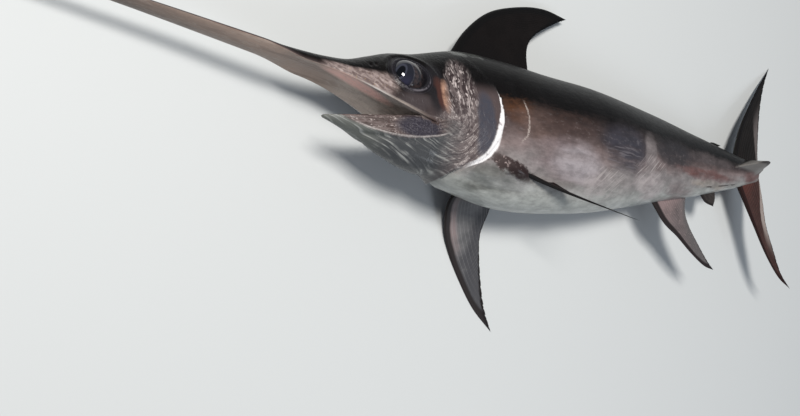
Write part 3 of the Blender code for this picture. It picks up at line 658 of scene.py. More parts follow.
def cheek_colour(colour, lines, blot, speck, x, y):
    """The dark skin round the eye, the ochre streak behind it with a black line of painted shade in the
    crease behind that, and the wrinkled silver of cheek and jowl, whose thin pale lines are painted glints
    of light on the wet skin."""
    colour = (spot(x, y, *UNDER_EYE_PATCH, 0.9) * 0.9).mix(colour, UNDER_EYE)
    colour = (spot(x, y, *BEHIND_EYE_PATCH, 0.8) * 0.9).mix(colour, BEHIND_EYE)
    slanted = x + y * CHEEK_SLANT
    colour = (spot(slanted, y, *RUST_PATCH, 0.9) * 0.9).mix(colour, RUST)
    streak = spot(slanted, y, *OCHRE_PATCH, 0.9)
    colour = (streak * (blot.step(0.30, 0.62) * 0.6 + 0.35)).mix(colour, OCHRE)
    cheek = spot(x, y, *CHEEK_PATCH, 0.7)
    colour = (cheek * 0.85).mix(colour, CHEEK_BROWN)
    shine = lines["upright"].step(0.44, 0.68) * 0.28 + blot.step(0.46, 0.68) * 0.22
    colour = (cheek * shine).mix(colour, CHEEK_SILVER)
    # painted glints on the ridges of the wrinkles behind the eye
    shine = lines["upright"].near(0.50, 0.034) * blot.step(0.40, 0.58)
    colour = (cheek * shine).mix(colour, CHEEK_GLINT)
    # painted shade in the crease behind the ochre streak
    crease = (slanted + (blot - 0.5) * 0.010).near(CREASE_PLACE[0], CREASE_WIDTH)
    crease = crease * y.near(CREASE_PLACE[1], CREASE_REACH).step(0.0, 0.3)
    colour = (crease * 0.9).mix(colour, CREASE_SHADE)
    jowl = spot(x, y, *JOWL_PATCH, 0.7)
    colour = (jowl * 0.6).mix(colour, JOWL_BROWN)
    shine = lines["arcs"].step(0.40, 0.66) * 0.30 + blot.step(0.42, 0.66) * 0.15
    colour = (jowl * shine).mix(colour, JOWL_SILVER)
    # painted glints on the ridges of the jowl's wrinkles
    shine = lines["arcs"].near(0.50, 0.038) * blot.step(0.38, 0.58) * (speck.step(0.36, 0.56) * 0.6 + 0.25)
    return (jowl * shine).mix(colour, JOWL_GLINT)


GILL_SLATE = (0.050, 0.055, 0.074)
SCAR_PALE = (0.42, 0.36, 0.33)
GILL_WHITE, GILL_WORN = (0.84, 0.82, 0.82), (0.48, 0.45, 0.46)
GILL_PATCH = ((0.443, -0.058), (0.034, 0.110))
# The scar is part of an ellipse, cut off at its front and above and below
SCAR_CENTRE, SCAR_RADIUS, SCAR_SQUASH, SCAR_WIDTH = (0.500, -0.012), 0.086, 0.75, 0.0045
SCAR_FRONT, SCAR_MIDDLE, SCAR_REACH = (0.53, 0.54), -0.03, 0.08


def gill_colour(colour, blot, speck, gill, x, y):
    """The slate rear of the gill cover, the curved pale scar behind it and its ragged white edge."""
    slate = (blot.step(0.30, 0.60) * 0.20 + 0.65) * spot(x, y, *GILL_PATCH, 0.65)
    colour = slate.mix(colour, GILL_SLATE)
    bent = (x - SCAR_CENTRE[0]).hypot((y - SCAR_CENTRE[1]) * SCAR_SQUASH)
    scar = (bent + (blot - 0.5) * 0.006).near(SCAR_RADIUS, SCAR_WIDTH)
    scar = scar * x.step(*SCAR_FRONT) * y.near(SCAR_MIDDLE, SCAR_REACH).step(0.0, 0.3)
    colour = (scar * speck.step(0.35, 0.55) * 0.8).mix(colour, SCAR_PALE)
    wide = y.step(0.05, -0.12) * 0.012 + 0.003
    ragged = (gill + wide - y.step(-0.03, -0.14) * 0.015 + (blot - 0.5) * 0.008) / wide
    white = ragged.math("ABSOLUTE").step(1.15, 0.60) * y.step(0.050, 0.024) * x.step(0.385, 0.435)
    return white.mix(colour, blot.step(0.30, 0.45).mix(GILL_WORN, GILL_WHITE))


def head_colour(colour, fish, gill, height, x, y, lines):
    """The head from the snout to the edge of the gill cover."""
    speck = fish.noise(240.0, 3.0, 0.6)
    blot = fish.noise(70.0, 3.0, 0.6)
    temple = gill.step(0.004, -0.004) * x.step(0.24, 0.31) * height.step(0.40, 0.16)
    colour = temple.mix(colour, TEMPLE_BROWN)
    colour = snout_colour(colour, lines, blot, speck, height, x, y)
    colour = cheek_colour(colour, lines, blot, speck, x, y)
    return gill_colour(colour, blot, speck, gill, x, y)


THROAT_OLIVE, THROAT_GREY = (0.125, 0.132, 0.122), (0.056, 0.059, 0.063)
PLEAT_PALE = (0.30, 0.305, 0.295)
JAW_BROWN, JAW_TAN = (0.080, 0.058, 0.054), (0.200, 0.156, 0.148)
JAW_LINE = (0.48, 0.41, 0.39)
JAW_SLATE_DARK, JAW_SLATE = (0.026, 0.025, 0.037), (0.075, 0.072, 0.094)
GROOVE_PALE = (0.42, 0.39, 0.38)
SLATE_PATCH = ((0.250, -0.094), (0.080, 0.036))
GROOVE_LOWEST, GROOVE_BEND = (0.20, -0.124), 1.4     # the painted groove is a parabola


def jaw_colour(colour, fish, x, y, lines):
    """The brown band of the lower jaw, the slate behind it and the pleated throat."""
    speck = fish.noise(200.0, 3.0, 0.6)
    blot = fish.noise(26.0, 2.0, 0.5)
    here = x.step(0.40, 0.30) * y.step(-0.060, -0.068)
    throat = x.step(0.08, 0.20).mix(THROAT_OLIVE, THROAT_GREY)
    pale = lines["throat"].step(0.48, 0.66) * (blot.step(0.38, 0.60) * 0.75 + 0.10)
    colour = here.mix(colour, pale.mix(throat, PLEAT_PALE))
    along = x - GROOVE_LOWEST[0]
    groove = y - GROOVE_LOWEST[1] - along * along * GROOVE_BEND
    band = here * groove.step(-0.003, 0.003) * x.step(0.36, 0.30)
    colour = band.mix(colour, JAW_BROWN)
    colour = (band * lines["jaw"].step(0.46, 0.66) * 0.7).mix(colour, JAW_TAN)
    colour = (band * lines["jaw"].near(0.50, 0.03) * speck.step(0.40, 0.60)).mix(colour, JAW_LINE)
    blue = spot(x, y, *SLATE_PATCH, 0.7) * band
    colour = (blue * 0.9).mix(colour, speck.step(0.45, 0.75).mix(JAW_SLATE_DARK, JAW_SLATE))
    edge = groove.near(0.0020, 0.0035) * x.step(0.06, 0.11) * x.step(0.35, 0.31)
    return (edge * (speck.step(0.3, 0.6) * 0.4 + 0.4)).mix(colour, GROOVE_PALE)


BILL_UNDERSIDE, BILL_EDGE = (0.095, 0.078, 0.068), (0.190, 0.085, 0.066)
PALATE_BEIGE, PALATE_PALE = (0.320, 0.245, 0.205), (0.420, 0.355, 0.315)
PALATE_FOLD, PALATE_LINE = (0.140, 0.110, 0.096), (0.42, 0.36, 0.32)
LIP_PINK, LIP_PALE = (0.84, 0.50, 0.43), (0.65, 0.60, 0.57)
# Darker deep in the mouth: painted shade
MOUTH_DEPTH_SHADE = (0.070, 0.045, 0.040)
LIP_PATCH = ((0.085, 0.034), (0.120, 0.030))         # seen from below, in x and z


def mouth_colour(colour, fish, palate, across, x, z):
    """The underside of the bill and the roof of the mouth, pink along the lips and darker deep in the
    mouth with painted shade.
    """
    ridge = fish.stretched((0.10, 1.0, 1.0)).noise(60.0, 4.0, 0.6, 0.4)
    under = x.step(-0.75, -0.10).mix(BILL_UNDERSIDE, PALATE_BEIGE)
    under = x.step(0.0, 0.08).mix(under, PALATE_PALE)
    under = (ridge.step(0.42, 0.66) * 0.4).mix(under, PALATE_FOLD)
    under = spot(x, z, *LIP_PATCH, 0.9).mix(under, LIP_PINK)
    under = (ridge.near(0.5, 0.03) * 0.3).mix(under, PALATE_LINE)
    # painted shade deep in the mouth
    under = x.step(0.20, 0.29).mix(under, MOUTH_DEPTH_SHADE)
    under = (across.step(0.94, 0.985) * x.near(0.125, 0.060)).mix(under, LIP_PALE)
    colour = palate.mix(colour, under)
    edge = palate.near(0.5, 0.5) * x.step(-0.04, -0.14) * ridge.step(0.42, 0.56)
    return (edge * 0.8).mix(colour, BILL_EDGE)


RIM_BLACK, RIM_GREY = (0.014, 0.013, 0.017), (0.07, 0.066, 0.080)
# The pale grey crescent on the lower rear rim is a painted highlight
RIM_HIGHLIGHT_GREY = (0.17, 0.155, 0.175)


def eye_rim_colour(colour, fish, x, y):
    """The dark rim round the eye, with rings in it, and below and behind a broken pale grey crescent that
    is a painted highlight on the rim.
    """
    across, up = (x - EYE_CENTRE[0]) / EYE_RADII[0], (y - EYE_CENTRE[1]) / EYE_RADII[1]
    out = across.hypot(up)
    colour = (out.near(1.00, 0.42) * 0.95).mix(colour, RIM_BLACK)
    rings = (out * 40.0).math("SINE").step(0.5, 1.0)
    colour = (out.near(1.20, 0.30) * rings * 0.3).mix(colour, RIM_GREY)
    # a broken painted highlight along the lower rear rim
    low = (across * 0.5 - up).step(0.15, 0.8)
    rim_highlight_breaks = fish.noise(75.0, 3.0, 0.6).step(0.38, 0.62)
    return (out.near(1.10, 0.09) * low * rim_highlight_breaks * 0.7).mix(colour, RIM_HIGHLIGHT_GREY)


# The dark of the slit is painted shade inside a cut in the skin
SLIT_SHADE = (0.022, 0.013, 0.012)
SLIT_PLACE, SLIT_SLOPE, SLIT_WIDTH = (1.60, -0.078), 0.104, 0.0045
SLIT_MIDDLE, SLIT_REACH = 1.740, 0.150
RUBBED_PALE, RIPPLE_GREY = (0.42, 0.38, 0.37), (0.180, 0.165, 0.180)
RUBBED_PATCHES = [((0.930, -0.150), (0.120, 0.050)), ((1.180, -0.090), (0.120, 0.075))]
RIPPLE_PATCH = ((1.010, -0.065), (0.120, 0.050))


def flank_marks(colour, lines, cloud, mottle, x, y, z, warp_x, warp_y):
    """The slit along the tail stalk, its dark painted shade inside the cut, and the rubbed and rippled
    skin behind the pectoral fin.
    """
    slit = y - SLIT_PLACE[1] - (x - SLIT_PLACE[0]) * SLIT_SLOPE
    slit = (slit + (cloud - 0.5) * 0.012).near(0.0, SLIT_WIDTH)
    slit = slit * x.near(SLIT_MIDDLE, SLIT_REACH).step(0.0, 0.2) * z.step(0.0, 0.01)
    colour = (slit * mottle.step(0.40, 0.52) * 0.9).mix(colour, SLIT_SHADE)
    rubbed = sum(spot(warp_x, warp_y, *patch) for patch in RUBBED_PATCHES)
    colour = (rubbed * lines["rubbed"].step(0.50, 0.66) * 0.65).mix(colour, RUBBED_PALE)
    ripple = spot(warp_x, warp_y, *RIPPLE_PATCH) * lines["ripple"].step(0.50, 0.64)
    return (ripple * 0.45).mix(colour, RIPPLE_GREY)


NAPE_OLIVE, FLANK_FLECK = (0.085, 0.090, 0.082), (0.30, 0.27, 0.27)
KEEL_GREY, KEEL_BLACK = (0.165, 0.155, 0.145), (0.030, 0.025, 0.024)
NAPE_PATCH = ((0.430, 0.168), (0.070, 0.026))
# The folded and the wet skin of cheek and jowl reach a little past their paint
CHEEK_FOLDS = ((0.375, 0.0), (0.065, 0.14))
JOWL_FOLDS = ((0.375, -0.115), (0.115, 0.095))


def paint_skin():
    """The wet skin: its colours laid over each other from flank to eye rim, then its folds and gloss."""
    material, tree, shader = paint("skin", Coat_Roughness=0.12, IOR=1.30, Specular_IOR_Level=0.35)
    fish = attribute(tree, "fish", "Vector")
    height, gill, palate, across, keel = (
        attribute(tree, name) for name in ("height", "gill", "palate", "across", "keel"))
    x, y, z = fish.parts()
    cloud = fish.noise(9.0, 5.0, 0.6)
    streak = fish.stretched((0.18, 1.0, 1.0)).noise(26.0, 4.0, 0.6)
    fine = fish.stretched((0.35, 1.0, 1.0)).noise(120.0, 4.0, 0.65)
    mottle = fish.stretched((0.6, 1.0, 1.0)).noise(38.0, 4.0, 0.65)
    lines = wrinkles(x, y, fish.noise(11.0, 1.0, 0.5) - 0.5)
    warp_x, warp_y = x + (cloud - 0.5) * 0.09, y + (streak - 0.5) * 0.06
    level = height + (cloud - 0.5) * 0.30 + (streak - 0.5) * 0.16
    nape = spot(x, y, *NAPE_PATCH, 0.8) * mottle.step(0.46, 0.60)

    colour = flank_colour(level, warp_x, warp_y, streak, fine)
    colour = (fine.step(0.56, 0.70) * level.step(0.30, 0.0) * 0.18).mix(colour, FLANK_FLECK)
    colour = colour.scaled(mottle.step(0.30, 0.70) * 0.42 + fine * 0.40 + streak * 0.30 + 0.43)
    colour = fin_root_colour(colour, fish, x, y, z)
    colour = (nape * 0.6).mix(colour, NAPE_OLIVE)
    colour = flank_marks(colour, lines, cloud, mottle, x, y, z, warp_x, warp_y)
    head_x, head_y = x + (cloud - 0.5) * 0.03, y + (streak - 0.5) * 0.03
    colour = head_colour(colour, fish, gill, height, head_x, head_y, lines)
    colour = jaw_colour(colour, fish, x, y, lines)
    colour = mouth_colour(colour, fish, palate, across, x, z)
    colour = eye_rim_colour(colour, fish, x, y)
    colour = keel.step(0.02, 0.20).mix(colour, KEEL_GREY)
    colour = keel.step(0.50, 0.62).mix(colour, KEEL_BLACK)
    tree.links.new(colour.socket, shader.inputs["Base Color"])

    covered = gill.step(0.0, -0.02)
    cheek = spot(x, y, *CHEEK_FOLDS, 0.8)
    jowl = spot(x, y, *JOWL_FOLDS, 0.8)
    folded = lines["upright"].near(0.50, 0.12) * cheek * 1.6 + lines["arcs"].near(0.50, 0.14) * jowl
    throat = x.step(0.36, 0.30) * y.step(-0.06, -0.08)
    folded = folded + lines["throat"].step(0.44, 0.66) * throat
    crease = fish.stretched((1.0, 0.45, 0.7)).noise(75.0, 4.0, 0.6, 1.2)
    relief = streak * 0.5 + fine * 0.20 + cloud * 0.4
    relief = relief + (crease * 0.7 + folded * 0.4) * covered + crease * 0.15
    bumped = relief.node("ShaderNodeBump", Strength=0.5, Distance=0.005, Height=relief)
    tree.links.new(bumped.socket, shader.inputs["Normal"])
    wet = level.step(0.30, -0.10) * 0.22 * x.step(0.02, 0.30) + cheek * 0.35 + nape * 0.5 + 0.03
    tree.links.new(wet.socket, shader.inputs["Coat Weight"])
    rough = fine * 0.24 - covered * 0.08 + 0.28
    tree.links.new(rough.socket, shader.inputs["Roughness"])
    return material


skin = make_skin()
skin.data.materials.clear()
skin.data.materials.append(paint_skin())
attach(skin, "root")
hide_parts("bill", "head", "lower_jaw", "torso_front", "torso_rear", "tail_stalk",
            "keel_left", "keel_right")

# Eyes. Each is a large ball with a clear glassy front over a dark iris. It sits in its socket in the
# skin, and its lens and slanted pupil are turned forward.
EYE_CELLS = (96, 48)
LENS_CENTRE = (0.200, 0.046)
LENS_RADII = (0.027, 0.044)
PUPIL_CENTRE = (0.191, 0.046)
# How fast the distance from the pupil's centre grows, in x and y, along the pupil and across it
PUPIL_ALONG, PUPIL_ACROSS = (52.4, 41.1), (101.0, -63.6)
IRIS_BLACK, IRIS_BROWN = (0.016, 0.015, 0.018), (0.050, 0.036, 0.036)
LENS_DARK, LENS_BLUE = (0.013, 0.014, 0.021), (0.030, 0.029, 0.060)
LENS_RING = (0.110, 0.105, 0.125)
PUPIL_BLACK, PUPIL_RING = (0.0012, 0.0015, 0.003), (0.075, 0.080, 0.110)


def eye_ball(node, side):
    """An eyeball on the left, side 1, or the right, side -1."""
    def place(u, v):
        lat, turn = math.pi * (v - 0.5), 2 * math.pi * u
        unit = np.column_stack((np.cos(lat) * np.cos(turn), np.cos(lat) * np.sin(turn), np.sin(lat)))
        return unit * EYE_RADII + (EYE_CENTRE[0], EYE_CENTRE[1], side * EYE_CENTRE[2])
    return surface(node, *EYE_CELLS, place)


def paint_eye():
    """The dark ball, its lens with a pale broken ring, and the pupil in a thin ring of its own."""
    material, tree, shader = paint("eye", Roughness=0.06, Coat_Weight=0.6, Coat_Roughness=0.03, IOR=1.36)
    fish = attribute(tree, "fish", "Vector")
    x, y, _ = fish.parts()
    blot = fish.noise(90.0, 3.0, 0.6)
    aside, above = x - PUPIL_CENTRE[0], y - PUPIL_CENTRE[1]
    along = aside * PUPIL_ALONG[0] + above * PUPIL_ALONG[1]
    pupil = along.hypot(aside * PUPIL_ACROSS[0] + above * PUPIL_ACROSS[1])
    lens = ((x - LENS_CENTRE[0]) / LENS_RADII[0]).hypot((y - LENS_CENTRE[1]) / LENS_RADII[1])
    colour = blot.step(0.35, 0.65).mix(IRIS_BLACK, IRIS_BROWN)
    colour = lens.step(1.04, 0.96).mix(colour, LENS_DARK)
    colour = (lens.step(1.0, 0.6) * y.step(0.045, 0.005)).mix(colour, LENS_BLUE)
    colour = (lens.near(1.0, 0.12) * (blot.step(0.35, 0.60) * 0.4 + 0.2)).mix(colour, LENS_RING)
    colour = (pupil.near(1.35, 0.45) * 0.5).mix(colour, PUPIL_RING)
    colour = pupil.step(1.10, 0.95).mix(colour, PUPIL_BLACK)
    tree.links.new(colour.socket, shader.inputs["Base Color"])
    return material


def lay_piece(obj, material, node, straight=True):
    """Dress a node with a piece. One drawn on the straight fish is laid on the floor first."""
    points = rows_of(obj.data.vertices)
    settle(obj.data, points, lay(points) if straight else points.copy())
    obj.data.materials.append(material)
    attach(obj, "root")
    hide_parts(node)


eye_glass = paint_eye()
for side, node in ((1, "eye_left"), (-1, "eye_right")):
    lay_piece(eye_ball(node, side), eye_glass, node)

# Back fins. The first is a tall sickle over the shoulders, the second a small one far back on the tail
# stalk. Each fin of the fish is a thin stiff blade of skin over bony rays, which grow out of the flesh:
# thick at its root, thin at its rear edge, and frayed there between the rays.
FRAY = 0.012                 # how deep the web is torn between rays, as a share of their length
FRONT_CROWDING = 1.15        # more of a blade's cells lie near its leading edge
# The blade thins to its edges over these shares of its width in front and behind, and of its length
FRONT_ROUNDING, REAR_ROUNDING, END_ROUNDING = 0.03, 0.01, 0.02
NEARBY = 0.004               # the blade's slope is measured between points this share apart


def curve(points, t):
    """Points at t, from 0 to 1, of the smooth curve through evenly counted points."""
    steps = np.linspace(0, 1, len(points))
    return np.column_stack([smooth(list(zip(steps, axis)), t) for axis in np.array(points, float).T])


def fin_middle(outline, s, t):
    """Middle of the blade inside its root, leading edge and free edge: s runs from its leading edge to
    the rear, t from its root to its free edge."""
    root, lead, margin = outline
    row, start = t[:, None], np.zeros(1)
    ruled = curve(root, s) * (1 - row) + curve(margin, s) * row
    edge = curve(root, start) * (1 - row) + curve(margin, start) * row
    return ruled + (curve(lead, t) - edge) * ((1 - s) ** 1.5)[:, None]


def across_blade(u):
    """Share of the way from the leading edge to the rear, over one face and back over the other."""
    return np.where(u < 0.5, 2 * u, 2 - 2 * u) ** FRONT_CROWDING


def rounded(distance, radius):
    """0 on an edge, 1 beyond the radius from it, and round between them."""
    return np.sqrt(np.clip(distance / radius, 0, 1))


def fin_blade(node, outline, rays, half_thickness, ridge, cells):
    """A closed blade with a ridge along each ray. Its half thickness is given at its free edge and at
    its root."""
    def place(u, v):
        face = np.where(u < 0.5, 1.0, -1.0)
        s = across_blade(u)
        ray = 0.5 + 0.5 * np.cos(2 * math.pi * rays * s)
        torn = FRAY * (1 - ray) * (1 + 0.8 * np.sin(17 * rays * s))
        torn = torn * step(0.0, 0.1, s) * (1 - step(0.9, 1, s))
        t = v * (1 - torn * v ** 6)
        along = fin_middle(outline, np.minimum(s + NEARBY, 1), t)
        along = along - fin_middle(outline, np.maximum(s - NEARBY, 0), t)
        outward = fin_middle(outline, s, np.minimum(t + NEARBY, 1)) - fin_middle(outline, s, t - NEARBY)
        normal = np.cross(along, outward)
        normal /= np.maximum(np.linalg.norm(normal, axis=1), 1e-9)[:, None]
        thin, thick = half_thickness
        half = thin + (thick - thin) * (1 - t) ** 1.3 * (1 - 0.75 * s)
        half += ridge * ray ** 2 * (1 - 0.6 * t)
        half *= rounded(s, FRONT_ROUNDING) * rounded(1 - s, REAR_ROUNDING)
        half *= rounded(1 - v, END_ROUNDING) * rounded(v, END_ROUNDING)
        return fin_middle(outline, s, t) + normal * (face * half)[:, None]

    def marks(u, v):
        return np.column_stack((across_blade(u), v, np.zeros_like(v)))

    return surface(node, 2 * cells[0], cells[1], place, marks)


def shade(colour, factor):
    return tuple(factor * part for part in colour)


def paint_fin(name, rays, web, front, base, inner=None, strip=None, start=0.62, tip=None):
    """A fin's paint: its web and rays, leading edge and root, and where it has them a band behind the
    leading edge, a pale strip from `start` to the rear edge, and a darker outer part."""
    material, tree, shader = paint(name, Roughness=0.45, Specular_IOR_Level=0.15)
    fish = attribute(tree, "fish", "Vector")
    s, t, _ = attribute(tree, "marks", "Vector").parts()
    cloud = fish.noise(16.0, 5.0, 0.6)
    fine = fish.noise(150.0, 3.0, 0.6)
    turn = s * (2 * math.pi * rays)
    ray = turn.math("COSINE") * 0.5 + 0.5
    forked = (turn * 3.0).math("COSINE") * 0.5 + 0.5
    lines = ray + (forked - ray) * t
    ragged_t = t + (cloud - 0.5) * 0.3
    colour = (cloud.step(0.35, 0.68) * 0.6).mix(web, shade(web, 0.5))
    if inner:
        band = (s + (cloud - 0.5) * 0.10).step(0.27, 0.18) * ragged_t.step(0.66, 0.42)
        colour = band.mix(colour, inner)
    if strip:
        rear = (t + (cloud - 0.5) * 0.10).step(start, start + 0.08) * s.step(0.25, 0.60)
        colour = rear.mix(colour, strip)
    if tip:
        colour = ragged_t.step(0.40, 0.78).mix(colour, tip)
    colour = (lines.step(0.55, 0.95) * 0.30).mix(colour, shade(web, 1.6))
    colour = ragged_t.step(0.34, 0.04).mix(colour, base)
    colour = (fine.step(0.58, 0.70) * 0.35).mix(colour, shade(base, 2.2))
    colour = (s + (cloud - 0.5) * 0.04).step(0.13, 0.08).mix(colour, front)
    colour = (t + (fine - 0.5) * 0.06).step(0.93, 0.97).mix(colour, shade(front, 0.6))
    tree.links.new(colour.socket, shader.inputs["Base Color"])
    relief = lines * 0.30 + fine * 0.30 + cloud * 0.5
    bumped = relief.node("ShaderNodeBump", Strength=0.4, Distance=0.002, Height=relief)
    tree.links.new(bumped.socket, shader.inputs["Normal"])
    return material


def lay_fin(node, root, lead, margin, rays, half_thickness, cells, ridge=0.0005, straight=True,
            **colours):
    """Dress a node with its fin. The leading edge starts at the front of the root, and the free edge
    runs from its tip to the rear of the root. A point in the middle plane of the fish has no z."""
    edges = root, [root[0], *lead], [lead[-1], *margin, root[-1]]
    outline = [[(*point, 0.0)[:3] for point in edge] for edge in edges]
    blade = fin_blade(node, outline, rays, half_thickness, ridge, cells)
    lay_piece(blade, paint_fin(node, rays, **colours), node, straight)


lay_fin("first_dorsal_fin",
        root=[(0.400, 0.170), (0.575, 0.195), (0.748, 0.195)],
        lead=[(0.487, 0.297), (0.596, 0.396), (0.735, 0.458), (0.850, 0.483), (0.952, 0.474)],
        margin=[(0.862, 0.420), (0.785, 0.362), (0.750, 0.300)],
        rays=34, half_thickness=(0.0008, 0.0085), cells=(240, 60),
        web=(0.0065, 0.0048, 0.0044), front=(0.004, 0.0035, 0.0035), base=(0.005, 0.004, 0.004))
lay_fin("second_dorsal_fin",
        root=[(1.715, 0.095), (1.790, 0.080)],
        lead=[(1.762, 0.126), (1.832, 0.117)],
        margin=[(1.800, 0.106)],
        rays=6, half_thickness=(0.0007, 0.004), cells=(60, 24), ridge=0.0004,
        web=(0.010, 0.008, 0.007), front=(0.006, 0.005, 0.005), base=(0.008, 0.006, 0.006))

# Belly fins. The first anal fin is a swept grey sickle with a pinkish root, the second a small flap
# behind it. Both are blades like those on the back and grow out of the underside of the trunk.
lay_fin("first_anal_fin",
        root=[(1.325, -0.125), (1.450, -0.108), (1.563, -0.090)],
        lead=[(1.400, -0.212), (1.480, -0.262), (1.560, -0.320), (1.645, -0.370), (1.712, -0.388)],
        margin=[(1.668, -0.347), (1.615, -0.285), (1.568, -0.225), (1.546, -0.165)],
        rays=16, half_thickness=(0.0008, 0.007), cells=(160, 60),
        web=(0.150, 0.125, 0.125), front=(0.022, 0.017, 0.017), base=(0.240, 0.180, 0.178),
        tip=(0.100, 0.094, 0.094))
lay_fin("second_anal_fin",
        root=[(1.645, -0.070), (1.762, -0.060)],
        lead=[(1.685, -0.120), (1.745, -0.138)],
        margin=[(1.762, -0.105)],
        rays=6, half_thickness=(0.0007, 0.004), cells=(60, 24), ridge=0.0004,
        web=(0.040, 0.034, 0.032), front=(0.016, 0.013, 0.013), base=(0.06, 0.045, 0.042))

# Tail fin. Two long stiff lobes of hard, closely set rays spread from the end of the tail stalk into a
# crescent. The lower one shows its red-brown skin and the pale strip along its rear edge.
lay_fin("caudal_fin_upper",
        root=[(1.905, 0.030), (1.990, 0.016), (2.096, 0.0004)],
        lead=[(1.940, 0.125), (1.992, 0.215), (2.062, 0.300), (2.150, 0.395), (2.262, 0.500)],
        margin=[(2.205, 0.410), (2.160, 0.310), (2.128, 0.200), (2.104, 0.090)],
        rays=12, half_thickness=(0.0008, 0.011), cells=(160, 90),
        web=(0.012, 0.010, 0.009), front=(0.007, 0.006, 0.006), base=(0.013, 0.010, 0.009),
        strip=(0.130, 0.112, 0.108), start=0.70)
lay_fin("caudal_fin_lower",
        root=[(1.925, -0.030), (2.000, -0.016), (2.096, -0.0004)],
        lead=[(1.972, -0.110), (2.030, -0.212), (2.105, -0.345), (2.182, -0.445), (2.264, -0.502)],
        margin=[(2.203, -0.428), (2.160, -0.320), (2.124, -0.220), (2.112, -0.110)],
        rays=12, half_thickness=(0.0008, 0.011), cells=(160, 90),
        web=(0.056, 0.029, 0.025), front=(0.022, 0.010, 0.009), base=(0.090, 0.033, 0.027),
        strip=(0.340, 0.290, 0.265), start=0.66)

# Pectoral fins. Long narrow blades, hinged low behind the gill covers by a fleshy root. The left one
# is swept back and stands off the flank, and the right one lies bent under the belly on the floor.
lay_fin("pectoral_fin_left",
        root=[(0.506, -0.142, 0.104), (0.556, -0.142, 0.106), (0.605, -0.138, 0.108)],
        lead=[(0.585, -0.175, 0.117), (0.674, -0.204, 0.134), (0.766, -0.233, 0.159),
              (0.855, -0.262, 0.190), (0.942, -0.290, 0.220)],
        margin=[(0.870, -0.256, 0.176), (0.792, -0.219, 0.130), (0.712, -0.184, 0.114),
                (0.645, -0.160, 0.111)],
        rays=12, half_thickness=(0.0008, 0.008), cells=(140, 80),
        web=(0.014, 0.010, 0.010), front=(0.007, 0.006, 0.006), base=(0.040, 0.018, 0.016))


def on_floor(points):
    """Points of a fin that is drawn where it lies on the floor, not on the straight fish."""
    return [(x - REST_POINT[0], y - REST_POINT[1], z) for x, y, z in points]


# The right fin's dark leading edge is painted shade along its thick edge, and its dark root is its
# olive-brown flesh darkened by painted shade under the belly.
lay_fin("pectoral_fin_right",
        root=on_floor([(0.575, -0.145, 0.105), (0.620, -0.145, 0.105), (0.665, -0.145, 0.106)]),
        lead=on_floor([(0.524, -0.222, 0.060), (0.545, -0.310, 0.020), (0.584, -0.390, 0.006),
                       (0.643, -0.479, 0.002), (0.712, -0.565, 0.001), (0.800, -0.640, 0.001)]),
        margin=on_floor([(0.762, -0.566, 0.001), (0.736, -0.490, 0.002), (0.712, -0.400, 0.006),
                         (0.694, -0.320, 0.018), (0.690, -0.235, 0.056)]),
        rays=14, half_thickness=(0.0010, 0.0075), cells=(160, 90), straight=False,
        web=(0.185, 0.182, 0.185), front=(0.024, 0.020, 0.020), base=(0.070, 0.066, 0.060),
        inner=(0.225, 0.180, 0.178), tip=(0.050, 0.050, 0.056))

# Stage. A plain pale matt floor, just under the fish, lit by one warm soft lamp, a weaker cool one and
# a dim sky.
FLOOR_HALF, FLOOR_DROP = 40.0, 0.0005
FLOOR_GREY = (0.62, 0.64, 0.64, 1)
SKY_BLUE, SKY_STRENGTH = (0.72, 0.80, 0.92, 1), 0.19
bm = bmesh.new()
bmesh.ops.create_grid(bm, x_segments=1, y_segments=1, size=FLOOR_HALF)
bmesh.ops.translate(bm, verts=bm.verts, vec=(0, 0, -FLOOR_DROP))
floor_mesh = bpy.data.meshes.new("floor")
bm.to_mesh(floor_mesh)
bm.free()
floor = bpy.data.objects.new("floor", floor_mesh)
bpy.context.collection.objects.link(floor)
floor_paint, _, _ = paint("floor", Base_Color=FLOOR_GREY, Roughness=0.6)
floor_mesh.materials.append(floor_paint)


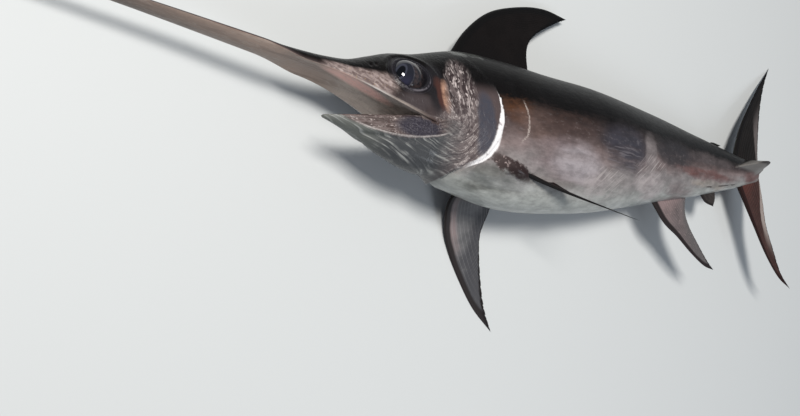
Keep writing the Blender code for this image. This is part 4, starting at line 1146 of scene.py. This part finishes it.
def area_light(name, place, size, watts, tint):
    """A square soft lamp that faces the origin."""
    data = bpy.data.lights.new(name, "AREA")
    data.size, data.energy, data.color = size, watts, tint
    lamp = bpy.data.objects.new(name, data)
    bpy.context.collection.objects.link(lamp)
    lamp.rotation_euler = Vector(place).to_track_quat("Z", "Y").to_euler()
    lamp.location = place


area_light("key", (-3.0, 2.0, 7.6), 2.0, 730, (1.0, 0.97, 0.93))
area_light("fill", (4.0, -5.6, 5.6), 4.0, 180, (0.86, 0.92, 1.0))
world = bpy.data.worlds.new("sky")
world.use_nodes = True
sky = world.node_tree.nodes["Background"]
sky.inputs["Color"].default_value = SKY_BLUE
sky.inputs["Strength"].default_value = SKY_STRENGTH
bpy.context.scene.world = world
bpy.context.scene.view_settings.view_transform = "Standard"

# Camera. It is held as in the photograph, about 1.7 m above the floor, and looks down on the fish
# from beyond its head.
CAMERA_PLACE = (-1.47989, -0.35207, 1.72500)
LOOK_DOWN, LOOK_ASIDE, LEAN = (math.radians(angle) for angle in (58.2349, 2.39433, -4.75534))
PHOTO_WIDTH = 800            # pixels
FOCAL_PIXELS = 665.67
SENSOR_WIDTH = 36.0          # the lens and this are in millimetres, as cameras are
forward = np.array([math.cos(LOOK_DOWN) * math.cos(LOOK_ASIDE),
                    math.cos(LOOK_DOWN) * math.sin(LOOK_ASIDE),
                    -math.sin(LOOK_DOWN)])
level = np.array([math.sin(LOOK_ASIDE), -math.cos(LOOK_ASIDE), 0.0])
upright = np.cross(level, forward)
right = math.cos(LEAN) * upright + math.sin(LEAN) * level
down = -math.sin(LEAN) * upright + math.cos(LEAN) * level
camera_data = bpy.data.cameras.new("camera")
camera_data.sensor_width = SENSOR_WIDTH
camera_data.lens = FOCAL_PIXELS / PHOTO_WIDTH * SENSOR_WIDTH
camera = bpy.data.objects.new("camera", camera_data)
bpy.context.collection.objects.link(camera)
turned = Matrix((right, -down, -forward)).transposed().to_4x4()
turned.translation = CAMERA_PLACE
camera.matrix_world = turned
bpy.context.scene.camera = camera
